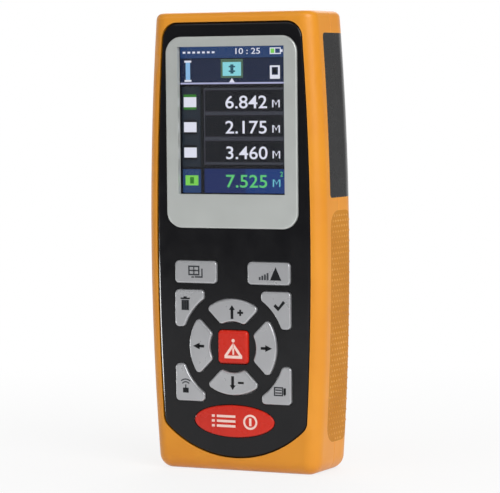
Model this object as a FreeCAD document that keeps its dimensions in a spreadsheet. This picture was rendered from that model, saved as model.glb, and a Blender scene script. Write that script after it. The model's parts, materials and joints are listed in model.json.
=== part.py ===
import FreeCAD, Part
import math
import os
import re
import Sketcher
from FreeCAD import Rotation, Vector

# Handheld laser distance meter, in millimetres.
# The meter stands on its flat base end. +Z runs up to the end that the beam leaves,
# the screen and keys face -Y, and the origin lies at the middle of the base.

doc = FreeCAD.newDocument("LaserDistanceMeter")

# Driving sizes, each kept in one spreadsheet cell
SIZES = {
    # case
    "height": 136.0,
    "width": 57.7,
    "depth": 27.0,
    "side_arc": 880.0,
    "waist": 67.0,
    "front_round": 4.4,
    "back_round": 9.3,
    "base_round": 4.2,
    "top_round": 2.0,
    "wall": 2.2,
    "ledge": 1.2,
    "seam_bevel": 0.15,
    "fit_gap": 0.1,
    # black front panel
    "panel_thick": 1.8,
    "panel_inset": 3.7,
    "panel_drop": 2.9,
    "panel_corner_level": 14.05,
    "panel_bottom_arc": 33.0,
    "panel_top_round": 5.0,
    "panel_bottom_round": 4.0,
    "panel_edge": 1.1,
    # screen
    "bezel_side": 1.52,
    "bezel_drop": 4.2,
    "bezel_bottom": 72.3,
    "bezel_border": 4.02,
    "bezel_brow": 2.99,
    "bezel_chin": 10.05,
    "bezel_round": 5.0,
    "bezel_proud": 0.7,
    "bezel_seat": 0.8,
    "bezel_edge": 0.45,
    "window_lap": 1.0,
    "module_side": 0.95,
    "module_rise": 2.3,
    "module_drop": 1.5,
    "module_gap": 0.3,
    "module_thick": 2.5,
    "module_rim": 1.6,
    "glass_thick": 1.1,
    "foam_side": 2.5,
    "foam_margin": 3.0,
    # keys
    "key_proud": 0.9,
    "key_gap": 0.22,
    "key_corner": 1.2,
    "key_edge": 0.5,
    "key_flange": 0.8,
    "flange_lap": 0.45,
    "key_travel": 0.6,
    "stop_gap": 0.1,
    "plunger_radius": 1.6,
    "top_key_inner": 5.13,
    "top_key_outer": 18.85,
    "top_key_low": 55.9,
    "top_key_high": 62.6,
    "corner_key_inner": 9.4,
    "corner_key_outer": 18.95,
    "upper_key_low": 42.9,
    "upper_key_high": 53.95,
    "lower_key_low": 20.7,
    "lower_key_high": 31.9,
    "corner_key_arc": 16.9,
    "corner_plunger_side": 15.4,
    "corner_plunger_rise": 12.4,
    "ring_level": 37.24,
    "ring_outer": 14.28,
    "ring_inner": 7.6,
    "ring_slot": 2.0,
    "ring_plunger": 11.0,
    "centre_key_half": 4.95,
    "centre_key_edge": 0.9,
    "oval_key_level": 15.2,
    "oval_key_wide": 26.2,
    "oval_key_tall": 9.5,
    "oval_crown": 110.0,
    "oval_edge": 0.4,
    # keypad opening and rubber mat
    "keypad_side": 1.1,
    "keypad_margin": 0.5,
    "keypad_low_round": 10.0,
    "mat_thick": 1.6,
    "mat_air": 0.4,
    "dome_room": 3.2,
    "dome_radius": 2.4,
    "dome_height": 0.3,
    # circuit board
    "board_thick": 1.4,
    "board_gap": 0.5,
    "post_radius": 1.7,
    "post_bore": 0.85,
    "post_margin": 0.1,
    "post_low_side": 19.8,
    "post_rise": 2.5,
    "post_drop": 3.0,
    "board_screw_head": 1.5,
    "board_screw_head_thick": 0.9,
    "board_screw_radius": 0.75,
    "board_screw_reach": 1.8,
    "chip_side": 12.0,
    "chip_thick": 1.2,
    "chip_level": 50.0,
    "buzzer_radius": 6.0,
    "buzzer_thick": 3.6,
    "buzzer_side": 13.0,
    "buzzer_level": 78.0,
    # case screws
    "screw_radius": 1.1,
    "screw_head": 2.1,
    "screw_head_thick": 1.6,
    "screw_sink": 2.6,
    "screw_clear": 0.15,
    "screw_reach": 5.0,
    "screw_boss": 2.6,
    "top_screw_margin": 1.36,
    "top_screw_rise": 0.4,
    "base_screw_side": 12.0,
    "base_screw_drop": 1.3,
    # side grips
    "grip_front": 7.0,
    "grip_back": 8.5,
    "grip_thick": 1.4,
    "grip_low": 81.3,
    "grip_drop": 6.4,
    "grip_corner": 1.2,
    "pad_thick": 1.0,
    "pad_low": 9.0,
    "pad_gap": 3.8,
    "pad_corner": 5.0,
    # battery bay and door
    "cell_radius": 5.25,
    "cell_length": 44.5,
    "cell_low": 19.3,
    "cell_step": 10.8,
    "cell_gap": 0.25,
    "contact_room": 2.1,
    "bay_floor": 1.7,
    "door_thick": 1.8,
    "door_lap": 0.7,
    "door_end": 2.2,
    "door_gap": 0.25,
    "door_corner": 2.0,
    "tab_side": 9.0,
    "tab_wide": 7.0,
    "tab_reach": 1.8,
    "tab_thick": 1.2,
    "tab_lip": 1.3,
    "tab_room": 2.6,
    "latch_half": 6.0,
    "latch_low": 59.5,
    "latch_slit": 0.7,
    "ridge_pitch": 1.7,
    "ridge_wide": 0.8,
    "ridge_deep": 0.6,
    "ridge_margin": 1.2,
    "ridge_inset": 1.5,
    "contact_wide": 8.4,
    "contact_tall": 9.0,
    "contact_thick": 0.4,
    "button_radius": 2.6,
    # tripod socket
    "insert_rise": 10.4,
    "insert_radius": 4.6,
    "insert_length": 9.0,
    "insert_sink": 0.2,
    "insert_bore": 3.18,
    "insert_bore_depth": 7.5,
    "insert_boss_wall": 1.8,
    # optics
    "carrier_tall": 33.0,
    "carrier_skin": 0.9,
    "carrier_gap": 0.3,
    "emitter_bore": 4.6,
    "receiver_throat": 3.4,
    "throat_rise": 2.0,
    "laser_length": 22.0,
    "laser_drop": 3.0,
    "laser_radius": 4.5,
    "laser_nose": 2.0,
    "nose_radius": 3.5,
    "aperture_radius": 2.1,
    "plate_lap": 0.65,
    "plate_thick": 1.8,
    "plate_corner": 3.0,
    "emitter_hole": 2.8,
    "emitter_window_thick": 1.0,
    "lens_gap": 0.3,
    "lens_lap": 0.3,
    "lens_rim": 1.6,
    "lens_dome": 22.0,
    "lens_sink": 0.2,
    "receiver_board_thick": 1.6,
    "diode_radius": 2.7,
    "diode_height": 3.0,
}

sheet = doc.addObject("Spreadsheet::Sheet", "Sizes")
for row, (alias, amount) in enumerate(SIZES.items(), start=1):
    sheet.set(f"A{row}", alias)
    sheet.set(f"B{row}", str(amount))
    sheet.setAlias(f"B{row}", alias)
doc.recompute()

# Levels along Y, worked out from the sizes
FRONT = "(0 - depth / 2)"
BACK = "(depth / 2)"
PANEL_BACK = f"({FRONT} + panel_thick)"
LEDGE_BACK = f"({PANEL_BACK} + ledge)"
BEZEL_FRONT = f"({FRONT} - bezel_proud)"
BEZEL_BACK = f"({FRONT} + bezel_seat)"
KEY_FRONT = f"({FRONT} - key_proud)"
FLANGE_FRONT = f"({PANEL_BACK} + stop_gap)"
FLANGE_BACK = f"({FLANGE_FRONT} + key_flange)"
MAT_FRONT = f"({FLANGE_BACK} + key_travel + mat_air)"
BOARD_FRONT = f"({MAT_FRONT} + mat_thick)"
BOARD_BACK = f"({BOARD_FRONT} + board_thick)"
DOME_FRONT = f"({BOARD_FRONT} - dome_height)"
PLUNGER_BACK = f"({DOME_FRONT} - key_travel - stop_gap)"
MODULE_FRONT = f"({PANEL_BACK} + fit_gap)"
MODULE_BACK = f"({MODULE_FRONT} + module_thick)"
INNER_BACK = f"({BACK} - wall)"
DOOR_SEAT = f"({BACK} - door_thick)"
CELL_CENTRE = f"({DOOR_SEAT} - cell_gap - cell_radius)"
BAY_FLOOR = f"({CELL_CENTRE} - cell_radius - cell_gap)"
SEAM = f"({BAY_FLOOR} - bay_floor)"
INSERT_MOUTH = f"({BACK} - insert_sink)"
CARRIER_FRONT = f"({BOARD_BACK} + carrier_gap)"
CARRIER_BACK = f"({INNER_BACK} - fit_gap)"
OPTICS_LEVEL = f"(({CARRIER_FRONT} + {CARRIER_BACK}) / 2)"

# Levels along Z that hang from the top end
INNER_TOP = "(height - wall)"
PLATE_TOP = f"({INNER_TOP} + plate_thick)"
PANEL_TOP = "(height - panel_drop)"
BEZEL_TOP = f"({PANEL_TOP} - bezel_drop)"
SCREEN_HIGH = f"({BEZEL_TOP} - bezel_brow)"
MODULE_TOP = f"({BEZEL_TOP} - module_drop)"
BOARD_HIGH = f"({MODULE_TOP} - fit_gap)"
TOP_SCREW_LEVEL = f"({BOARD_HIGH} + screw_boss + top_screw_rise)"
GRIP_HIGH = "(height - grip_drop)"
CARRIER_LOW = f"({INNER_TOP} - carrier_tall)"

# Levels along Z that stand on the base end, the keys, the cells or the grips
SCREEN_LOW = "(bezel_bottom + bezel_chin)"
MODULE_BOTTOM = "(bezel_bottom + module_rise)"
KEYPAD_HIGH = "(top_key_high + flange_lap + keypad_margin)"
KEYPAD_LOW = "(oval_key_level - oval_key_tall / 2 - flange_lap - keypad_margin)"
BASE_SCREW_LEVEL = f"({KEYPAD_LOW} - base_screw_drop - screw_boss)"
PAD_HIGH = "(grip_low - pad_gap)"
BAY_LOW = "(cell_low - contact_room)"
BAY_HIGH = "(cell_low + cell_length + contact_room)"
BAY_WALL_TOP = f"({BAY_HIGH} + wall)"
DOOR_LOW = f"({BAY_LOW} - door_end)"
DOOR_HIGH = f"({BAY_HIGH} + door_end)"
INSERT_LEVEL = f"({DOOR_HIGH} + insert_rise)"


def bound(text):
    """Turn a formula in plain size names into one that reads the sheet."""
    def swap(word):
        return f"Sizes.{word.group()}" if word.group() in SIZES else word.group()
    return re.sub(r"[a-z_]+", swap, text)


def value(text):
    """Work a formula out as a number."""
    return float(sheet.evalExpression(bound(text).replace("Sizes.", "")))


def half_width(level, inset="0"):
    """Half the case's width at a level, drawn in by an inset."""
    return (
        f"(width / 2 - side_arc + sqrt((side_arc - {inset}) ^ 2 - ({level} - waist) ^ 2))"
    )


# Distances from the middle, worked out from the case's width or from what the piece holds
BEZEL_HALF = f"({half_width(BEZEL_TOP, 'panel_inset')} - bezel_side)"
SCREEN_HALF = f"({BEZEL_HALF} - bezel_border)"
MODULE_HALF = f"({BEZEL_HALF} - module_side)"
POST_SIDE = f"({MODULE_HALF} + module_gap + post_margin + post_radius)"
KEYPAD_HALF = "(corner_key_outer + flange_lap + keypad_side)"
TOP_SCREW_SIDE = f"({half_width(TOP_SCREW_LEVEL, 'wall')} - screw_boss - top_screw_margin)"
BAY_HALF = "(cell_step + cell_radius + cell_gap)"
DOOR_HALF = f"({BAY_HALF} + door_lap)"
CARRIER_HALF = f"({half_width(INNER_TOP, 'wall')} - back_round + wall)"
RECEIVER_BORE = f"(({CARRIER_BACK} - {CARRIER_FRONT}) / 2 - carrier_skin)"
LENS_RADIUS = f"({RECEIVER_BORE} - lens_gap)"
RECEIVER_HOLE = f"({LENS_RADIUS} - lens_lap)"
EMITTER = f"(emitter_bore + carrier_skin - {CARRIER_HALF})"
RECEIVER = f"({CARRIER_HALF} - carrier_skin - {RECEIVER_BORE})"

# Sketches: every corner point is fixed by two bound distances
PLANES = {"X": "YZ_Plane", "Y": "XZ_Plane", "Z": "XY_Plane"}


def new_body(name):
    body = doc.addObject("PartDesign::Body", name)
    body.Label = name
    return body


def new_sketch(body, name, axis, level):
    sketch = body.newObject("Sketcher::SketchObject", name)
    for plane in body.Origin.OriginFeatures:
        if plane.Role == PLANES[axis]:
            sketch.AttachmentSupport = [(plane, "")]
    sketch.MapMode = "FlatFace"
    sign = "-1 * " if axis == "Y" else ""
    sketch.setExpression(".AttachmentOffset.Base.z", bound(f"{sign}({level})"))
    return sketch


def fix(sketch, kind, amount, *place):
    index = sketch.addConstraint(Sketcher.Constraint(kind, *place, value(amount)))
    sketch.setExpression(f"Constraints[{index}]", bound(amount))


def fix_point(sketch, piece, end, across, up):
    fix(sketch, "DistanceX", across, -1, 1, piece, end)
    fix(sketch, "DistanceY", up, -1, 1, piece, end)


def draw_circle(sketch, across, up, radius):
    centre = Vector(value(across), value(up), 0)
    circle = Part.Circle(centre, Vector(0, 0, 1), value(radius))
    piece = sketch.addGeometry(circle, False)
    fix_point(sketch, piece, 3, across, up)
    fix(sketch, "Radius", radius, piece)


def draw_ellipse(sketch, across, up, wide, tall):
    centre = Vector(value(across), value(up), 0)
    major = centre + Vector(value(wide) / 2, 0, 0)
    minor = centre + Vector(0, value(tall) / 2, 0)
    piece = sketch.addGeometry(Part.Ellipse(major, minor, centre), False)
    sketch.exposeInternalGeometry(piece)
    sketch.addConstraint(Sketcher.Constraint("Horizontal", piece + 1))
    fix_point(sketch, piece, 3, across, up)
    fix(sketch, "Distance", wide, piece + 1)
    fix(sketch, "Distance", tall, piece + 2)


def draw_outline(sketch, corners):
    """Draw a closed outline, counterclockwise.

    Each corner is (across, up) where a straight side follows, or (across, up, radius, bulge)
    where an arc follows, with a bulge of 1 outwards and -1 inwards.
    """
    first = len(sketch.Geometry)
    ends = []
    for index, corner in enumerate(corners):
        following = corners[(index + 1) % len(corners)]
        start = Vector(value(corner[0]), value(corner[1]), 0)
        stop = Vector(value(following[0]), value(following[1]), 0)
        if len(corner) == 2:
            sketch.addGeometry(Part.LineSegment(start, stop), False)
            ends.append((1, 2))
            continue
        radius, bulge = value(corner[2]), corner[3]
        chord = stop - start
        rise = math.sqrt(radius ** 2 - (chord.Length / 2) ** 2)
        left = Vector(-chord.y, chord.x, 0).normalize()
        centre = (start + stop) * 0.5 + left * rise * bulge
        circle = Part.Circle(centre, Vector(0, 0, 1), radius)
        spokes = [start - centre, stop - centre]
        angles = [math.atan2(spoke.y, spoke.x) for spoke in spokes]
        if bulge < 0:
            angles.reverse()
        sketch.addGeometry(Part.ArcOfCircle(circle, *angles), False)
        ends.append((1, 2) if bulge > 0 else (2, 1))
    for index, corner in enumerate(corners):
        piece = first + index
        following = (index + 1) % len(corners)
        start_end, stop_end = ends[index]
        link = Sketcher.Constraint(
            "Coincident", piece, stop_end, first + following, ends[following][0]
        )
        sketch.addConstraint(link)
        fix_point(sketch, piece, start_end, corner[0], corner[1])
        if len(corner) == 4:
            fix(sketch, "Radius", corner[2], piece)


def draw_rectangle(sketch, low_across, high_across, low_up, high_up):
    draw_outline(
        sketch,
        [
            (low_across, low_up),
            (high_across, low_up),
            (high_across, high_up),
            (low_across, high_up),
        ],
    )


def draw_barrel(sketch, inset, low, high):
    """The case's front view: flat ends and two long, gently bowed sides."""
    radius = f"(side_arc - {inset})"
    low_half, high_half = half_width(low, inset), half_width(high, inset)
    draw_outline(
        sketch,
        [
            (f"-1 * {low_half}", low),
            (low_half, low, radius, 1),
            (high_half, high),
            (f"-1 * {high_half}", high, radius, 1),
        ],
    )


# Features
def prism(body, name, axis, near, far, draw, cut=False):
    """Add or cut a straight form between two levels of an axis."""
    doc.recompute()
    before = body.Shape.Volume if body.Tip else 0.0
    sketch = new_sketch(body, f"{name}_sketch", axis, near)
    draw(sketch)
    kind = "PartDesign::Pocket" if cut else "PartDesign::Pad"
    feature = body.newObject(kind, name)
    feature.Profile = sketch
    feature.setExpression("Length", bound(f"({far}) - ({near})"))
    feature.Reversed = (axis == "Y") != cut
    doc.recompute()
    grown = body.Shape.Volume - before
    if (grown > 0) == cut or abs(grown) < 1e-6:
        raise RuntimeError(f"{body.Label}: {name} changed the volume by {grown:.4f}")
    return feature


def edge_names(shape, pick):
    names = []
    for number, edge in enumerate(shape.Edges, start=1):
        middle = edge.valueAt((edge.FirstParameter + edge.LastParameter) / 2)
        if pick(edge, middle):
            names.append(f"Edge{number}")
    return names


def soften(body, name, size, pick, kind="Fillet"):
    """Round or bevel the edges that pick chooses."""
    doc.recompute()
    base = body.Tip
    names = edge_names(base.Shape, pick)
    if not names:
        raise RuntimeError(f"{body.Label}: no edge for {name}")
    feature = body.newObject(f"PartDesign::{kind}", name)
    feature.Base = (base, names)
    feature.setExpression("Radius" if kind == "Fillet" else "Size", bound(size))
    doc.recompute()
    if "Invalid" in feature.State:
        raise RuntimeError(f"{body.Label}: {name} can't be made")
    return feature


def near_to(first, second, slack=0.02):
    return abs(first - second) < slack


def runs_along(edge, axis):
    """True for a straight edge along an axis."""
    ends = [vertex.Point for vertex in edge.Vertexes]
    if len(ends) != 2:
        return False
    span = ends[1] - ends[0]
    across = [abs(span.x), abs(span.y), abs(span.z)]
    along = across.pop("XYZ".index(axis))
    return along > 1e-4 and max(across) < 1e-4


def in_plane(edge, axis, level, slack=0.02):
    """True for an edge that lies whole at one level of an axis."""
    box = edge.BoundBox
    low = getattr(box, f"{axis}Min")
    high = getattr(box, f"{axis}Max")
    return near_to(low, level, slack) and near_to(high, level, slack)


def long_side(edge, level):
    """True for one of the long bowed edges at a Y level."""
    box = edge.BoundBox
    one_side = box.XMin * box.XMax > 0
    return in_plane(edge, "Y", level) and one_side and box.ZLength > value("height / 5")


def boolean(kind, name, base, tool):
    result = doc.addObject(f"Part::{kind}", name)
    result.Label = name
    result.Base = base
    result.Tool = tool
    doc.recompute()
    return result


def group(name, pieces):
    result = doc.addObject("Part::Compound", name)
    result.Label = name
    result.Links = pieces
    doc.recompute()
    return result


def set_place(piece, across, deep, up):
    for letter, text in zip("xyz", (across, deep, up)):
        piece.setExpression(f".Placement.Base.{letter}", bound(text))


def block(name, across, deep, up):
    """A box between pairs of levels along X, Y and Z."""
    box = doc.addObject("Part::Box", name)
    box.Label = name
    spans = zip(("Length", "Width", "Height"), (across, deep, up))
    for side, (low, high) in spans:
        box.setExpression(side, bound(f"({high}) - ({low})"))
    set_place(box, across[0], deep[0], up[0])
    return box


TURNS = {
    "X": Rotation(Vector(0, 1, 0), 90),
    "Y": Rotation(Vector(1, 0, 0), -90),
    "Z": Rotation(),
}


def rod(name, axis, start, radius, length):
    """A round bar that starts at a point and runs along an axis."""
    bar = doc.addObject("Part::Cylinder", name)
    bar.Label = name
    bar.Placement.Rotation = TURNS[axis]
    bar.setExpression("Radius", bound(radius))
    bar.setExpression("Height", bound(length))
    set_place(bar, *start)
    return bar


def mirrored(across):
    """A place on each side of the middle."""
    return (f"(0 - {across})", f"({across})")


nodes = {}


def keep(name, piece):
    piece.Label = name
    nodes[name] = piece
    return piece


# Outer form of the case, between two Y levels
def case_form(body, near, far, inset="0"):
    low, high = inset, f"(height - {inset})"
    prism(body, f"{body.Name}_form", "Y", near, far, lambda s: draw_barrel(s, inset, low, high))
    doc.recompute()


def round_case(body, front, back, inset="0"):
    """Round the long edges, then the base and the top end."""
    inner = value(inset)
    if front:
        soften(
            body, f"{body.Name}_front_round", f"front_round - {inset}",
            lambda edge, middle: long_side(edge, value(FRONT) + inner),
        )
    if back:
        soften(
            body, f"{body.Name}_back_round", f"back_round - {inset}",
            lambda edge, middle: long_side(edge, value(BACK) - inner),
        )
    seam = value(SEAM)
    whole = front and back

    def outer(edge, level):
        flat = in_plane(edge, "Z", level)
        return flat and (whole or not in_plane(edge, "Y", seam))

    soften(
        body, f"{body.Name}_base_round", f"base_round - {inset}",
        lambda edge, middle: outer(edge, inner),
    )
    if value(f"top_round - {inset}") > 0:
        soften(
            body, f"{body.Name}_top_round", f"top_round - {inset}",
            lambda edge, middle: outer(edge, value("height") - inner),
        )


def bevel_seam(body):
    """A fine bevel round the joint, so that the two halves meet in a narrow groove."""
    soften(
        body, f"{body.Name}_seam_bevel", "seam_bevel",
        lambda edge, middle: in_plane(edge, "Y", value(SEAM)), "Chamfer",
    )


def whole_form(name, inset="0"):
    body = new_body(name)
    case_form(body, f"({FRONT} + {inset})", f"({BACK} - {inset})", inset)
    round_case(body, True, True, inset)
    return body


# Side grips: two smooth dark inlays above two dotted pads, let into the flanks
def flank_window(name, side, low, high, corner):
    """A bar through one flank, as wide and tall as the piece that is let in there."""
    body = new_body(f"{name}_window")
    near, far = ("0", "width") if side > 0 else ("(0 - width)", "0")
    prism(
        body, f"{name}_bar", "X", near, far,
        lambda s: draw_rectangle(s, "(0 - grip_front)", "grip_back", low, high),
    )
    soften(
        body, f"{name}_corner", corner, lambda edge, middle: runs_along(edge, "X")
    )
    return body


outer_form = whole_form("outer_form")
grip_core = whole_form("grip_core", "grip_thick")
pad_core = whole_form("pad_core", "pad_thick")

flank_tools = []
FLANKS = {
    "side_grip": (grip_core, "grip_low", GRIP_HIGH, "grip_corner"),
    "grip_pad": (pad_core, "pad_low", PAD_HIGH, "pad_corner"),
}
for side_name, side in (("left", -1), ("right", 1)):
    for kind, (core, low, high, corner) in FLANKS.items():
        label = f"{side_name}_{kind}"
        window = flank_window(label, side, low, high, corner)
        space = boolean("Cut", f"{label}_space", window, core)
        flank_tools.append(space)
        keep(label, boolean("Common", label, outer_form, space))
all_flanks = group("flank_spaces", flank_tools)


# Optics plate opening in the top end
def draw_plate(sketch, gap):
    half = f"({CARRIER_HALF} + plate_lap + {gap})"
    draw_rectangle(
        sketch, f"(0 - {half})", half,
        f"({CARRIER_FRONT} - plate_lap - {gap})", f"({CARRIER_BACK} + plate_lap + {gap})",
    )


plate_space = new_body("plate_space")
prism(
    plate_space, "plate_space_bar", "Z", "(height - wall * 2)", "(height + wall)",
    lambda s: draw_plate(s, "fit_gap"),
)
soften(
    plate_space, "plate_space_corner", "plate_corner + fit_gap",
    lambda edge, middle: runs_along(edge, "Z"),
)
case_cuts = group("case_cuts", [all_flanks, plate_space])


# Panel outline, shared by the panel and by its recess in the case
def draw_panel(sketch, gap):
    inset = f"(panel_inset - {gap})"
    corner = half_width("panel_corner_level", inset)
    top = f"({PANEL_TOP} + {gap})"
    top_half = half_width(top, inset)
    side_arc = f"(side_arc - {inset})"
    draw_outline(
        sketch,
        [
            (f"-1 * {corner}", "panel_corner_level", f"(panel_bottom_arc + {gap})", 1),
            (corner, "panel_corner_level", side_arc, 1),
            (top_half, top),
            (f"-1 * {top_half}", top, side_arc, 1),
        ],
    )


def round_panel(body, name, gap):
    """Round the four corners of the panel's outline."""
    high = value(f"{PANEL_TOP} / 2")
    floor = value(PANEL_BACK)

    def corner(edge, middle, above):
        wide = abs(middle.x) > value(BEZEL_HALF)
        ends = near_to(edge.BoundBox.YMax, floor)
        return runs_along(edge, "Y") and wide and ends and (middle.z > high) == above

    soften(
        body, f"{name}_top_round", f"(panel_top_round + {gap})",
        lambda edge, middle: corner(edge, middle, True),
    )
    soften(
        body, f"{name}_bottom_round", f"(panel_bottom_round + {gap})",
        lambda edge, middle: corner(edge, middle, False),
    )


# Key outlines, each drawn larger by a margin for its flange or its hole
def turned(point, quarter):
    """A point about the ring's centre, turned by quarter turns."""
    across, up = point
    for _ in range(quarter):
        across, up = f"(0 - {up})", across
    return across, f"(ring_level + {up})"


def draw_top_key(sketch, side, margin):
    inner, outer = f"(top_key_inner - {margin})", f"(top_key_outer + {margin})"
    low, high = (inner, outer) if side > 0 else (f"(0 - {outer})", f"(0 - {inner})")
    draw_rectangle(sketch, low, high, f"(top_key_low - {margin})", f"(top_key_high + {margin})")


def draw_corner_key(sketch, side, rise, margin):
    """A rectangle whose corner nearest the ring is scooped out by an arc."""
    arc = f"(corner_key_arc - {margin})"
    inner = f"(corner_key_inner - {margin})"
    outer = f"(corner_key_outer + {margin})"
    if rise > 0:
        near = f"(upper_key_low - {margin} - ring_level)"
        far = f"(upper_key_high + {margin} - ring_level)"
    else:
        near = f"(ring_level - lower_key_high - {margin})"
        far = f"(ring_level - lower_key_low + {margin})"
    bend_up = f"sqrt({arc} ^ 2 - {inner} ^ 2)"
    bend_across = f"sqrt({arc} ^ 2 - {near} ^ 2)"
    corners = [
        (inner, bend_up, arc, -1),
        (bend_across, near),
        (outer, near),
        (outer, far),
        (inner, far),
    ]
    sign_across = "" if side > 0 else "-1 * "
    sign_up = "" if rise > 0 else "-1 * "
    if side * rise > 0:
        order = corners
    else:
        straight = [corner[:2] for corner in corners]
        order = [straight[1] + (arc, -1), straight[0]] + straight[:1:-1]
    placed = [
        (f"{sign_across}{corner[0]}", f"(ring_level + {sign_up}{corner[1]})", *corner[2:])
        for corner in order
    ]
    draw_outline(sketch, placed)


def draw_ring_key(sketch, quarter, margin):
    """One of four curved keys, parted by slots along the diagonals."""
    slot = f"(ring_slot - {margin})"
    outer, inner = f"(ring_outer + {margin})", f"(ring_inner - {margin})"
    points = []
    for radius, side in ((inner, 1), (outer, 1), (outer, -1), (inner, -1)):
        reach = f"sqrt({radius} ^ 2 - {slot} ^ 2)"
        across = f"({side} * ({reach} - {slot}) / sqrt(2))"
        up = f"(({reach} + {slot}) / sqrt(2))"
        points.append(turned((across, up), quarter))
    draw_outline(
        sketch,
        [points[0], points[1] + (outer, 1), points[2], points[3] + (inner, -1)],
    )


def draw_centre_key(sketch, margin):
    half = f"(centre_key_half + {margin})"
    draw_rectangle(
        sketch, f"(0 - {half})", half, f"(ring_level - {half})", f"(ring_level + {half})"
    )


def draw_oval_key(sketch, margin):
    draw_ellipse(
        sketch, "0", "oval_key_level",
        f"(oval_key_wide + 2 * {margin})", f"(oval_key_tall + 2 * {margin})",
    )


# Each key: its outline and where its plunger stands
KEYS = {}
for side_name, side in (("left", -1), ("right", 1)):
    KEYS[f"key_top_{side_name}"] = (
        lambda s, margin, side=side: draw_top_key(s, side, margin),
        f"({side} * (top_key_inner + top_key_outer) / 2)",
        "((top_key_low + top_key_high) / 2)",
    )
    for rise_name, rise in (("upper", 1), ("lower", -1)):
        KEYS[f"key_{rise_name}_{side_name}"] = (
            lambda s, margin, side=side, rise=rise: draw_corner_key(s, side, rise, margin),
            f"({side} * corner_plunger_side)",
            f"(ring_level + {rise} * corner_plunger_rise)",
        )
for quarter, ring_name in enumerate(("ring_up", "ring_left", "ring_down", "ring_right")):
    across, up = turned(("0", "ring_plunger"), quarter)
    KEYS[f"key_{ring_name}"] = (
        lambda s, margin, quarter=quarter: draw_ring_key(s, quarter, margin), across, up
    )
KEYS["key_measure"] = (draw_centre_key, "0", "ring_level")
KEYS["key_power"] = (draw_oval_key, "0", "oval_key_level")


KEY_EDGES = {"key_measure": "centre_key_edge", "key_power": "oval_edge"}


def crown_key(body, level):
    """Turn a key's flat face into part of a large ball."""
    doc.recompute()
    before = body.Shape.Volume
    reach = "(oval_key_wide / 2 + oval_edge)"
    sketch = new_sketch(body, f"{body.Name}_crown_sketch", "Z", level)
    fallen = f"({KEY_FRONT} + oval_crown - sqrt(oval_crown ^ 2 - {reach} ^ 2))"
    ahead = f"({KEY_FRONT} - oval_edge)"
    corners = [("0", ahead), (reach, ahead), (reach, fallen, "oval_crown", -1), ("0", KEY_FRONT)]
    draw_outline(sketch, corners)
    groove = body.newObject("PartDesign::Groove", f"{body.Name}_crown")
    groove.Profile = sketch
    groove.ReferenceAxis = (sketch, ["V_Axis"])
    groove.Angle = 360.0
    doc.recompute()
    if body.Shape.Volume >= before:
        raise RuntimeError(f"{body.Label}: the crown cut nothing")


def make_key(name):
    """A hard cap with a stop flange behind the panel and a plunger to its switch."""
    draw, across, up = KEYS[name]
    body = new_body(name)
    prism(body, f"{name}_cap", "Y", KEY_FRONT, FLANGE_BACK, lambda s: draw(s, "0"))
    front = value(FRONT)
    if name == "key_power":
        crown_key(body, up)
    else:
        soften(
            body, f"{name}_corner", "key_corner", lambda edge, middle: runs_along(edge, "Y")
        )
    edge_size = KEY_EDGES.get(name, "key_edge")
    soften(body, f"{name}_edge", edge_size, lambda edge, middle: edge.BoundBox.YMax < front)
    prism(
        body, f"{name}_flange", "Y", FLANGE_FRONT, FLANGE_BACK,
        lambda s: draw(s, "flange_lap"),
    )
    prism(
        body, f"{name}_plunger", "Y", FLANGE_BACK, PLUNGER_BACK,
        lambda s: draw_circle(s, across, up, "plunger_radius"),
    )
    return keep(name, body)


for key_name in KEYS:
    make_key(key_name)


# Black front panel, with a hole for each key and a seat for the bezel
def draw_bezel(sketch, gap):
    draw_rectangle(
        sketch,
        f"(0 - {BEZEL_HALF} - {gap})",
        f"({BEZEL_HALF} + {gap})",
        f"(bezel_bottom - {gap})",
        f"({BEZEL_TOP} + {gap})",
    )


def draw_screen(sketch, margin):
    draw_rectangle(
        sketch,
        f"(0 - {SCREEN_HALF} - {margin})",
        f"({SCREEN_HALF} + {margin})",
        f"({SCREEN_LOW} - {margin})",
        f"({SCREEN_HIGH} + {margin})",
    )


def draw_key_holes(sketch):
    for draw, across, up in KEYS.values():
        draw(sketch, "key_gap")


panel = new_body("front_panel")
prism(panel, "panel_plate", "Y", FRONT, PANEL_BACK, lambda s: draw_panel(s, "0"))
round_panel(panel, "panel", "0")
soften(
    panel, "panel_edge", "panel_edge",
    lambda edge, middle: in_plane(edge, "Y", value(FRONT)),
)
prism(panel, "bezel_seat", "Y", FRONT, BEZEL_BACK, lambda s: draw_bezel(s, "fit_gap"), cut=True)
soften(
    panel, "bezel_seat_corner", "bezel_round + fit_gap",
    lambda edge, middle: runs_along(edge, "Y") and near_to(edge.BoundBox.YMax, value(BEZEL_BACK)),
)
prism(
    panel, "window_hole", "Y", BEZEL_BACK, PANEL_BACK,
    lambda s: draw_screen(s, "(window_lap + fit_gap)"), cut=True,
)
prism(panel, "key_holes", "Y", FRONT, PANEL_BACK, draw_key_holes, cut=True)


def key_hole_corner(edge, middle):
    in_keypad = abs(middle.x) < value(KEYPAD_HALF) and middle.z < value(KEYPAD_HIGH)
    return runs_along(edge, "Y") and in_keypad


soften(panel, "key_hole_corner", "key_corner + key_gap", key_hole_corner)
keep("front_panel", panel)

# Raised silver bezel round the screen
bezel = new_body("display_bezel")
prism(bezel, "bezel_plate", "Y", BEZEL_FRONT, BEZEL_BACK, lambda s: draw_bezel(s, "0"))
soften(bezel, "bezel_corner", "bezel_round", lambda edge, middle: runs_along(edge, "Y"))
soften(
    bezel, "bezel_edge", "bezel_edge",
    lambda edge, middle: in_plane(edge, "Y", value(BEZEL_FRONT)),
)
prism(bezel, "screen_hole", "Y", BEZEL_FRONT, BEZEL_BACK, lambda s: draw_screen(s, "0"), cut=True)
keep("display_bezel", bezel)

# Clear window, held between the bezel and the screen module
window = new_body("display_window")
prism(window, "window_plate", "Y", BEZEL_BACK, PANEL_BACK, lambda s: draw_screen(s, "window_lap"))
keep("display_window", window)


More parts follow.
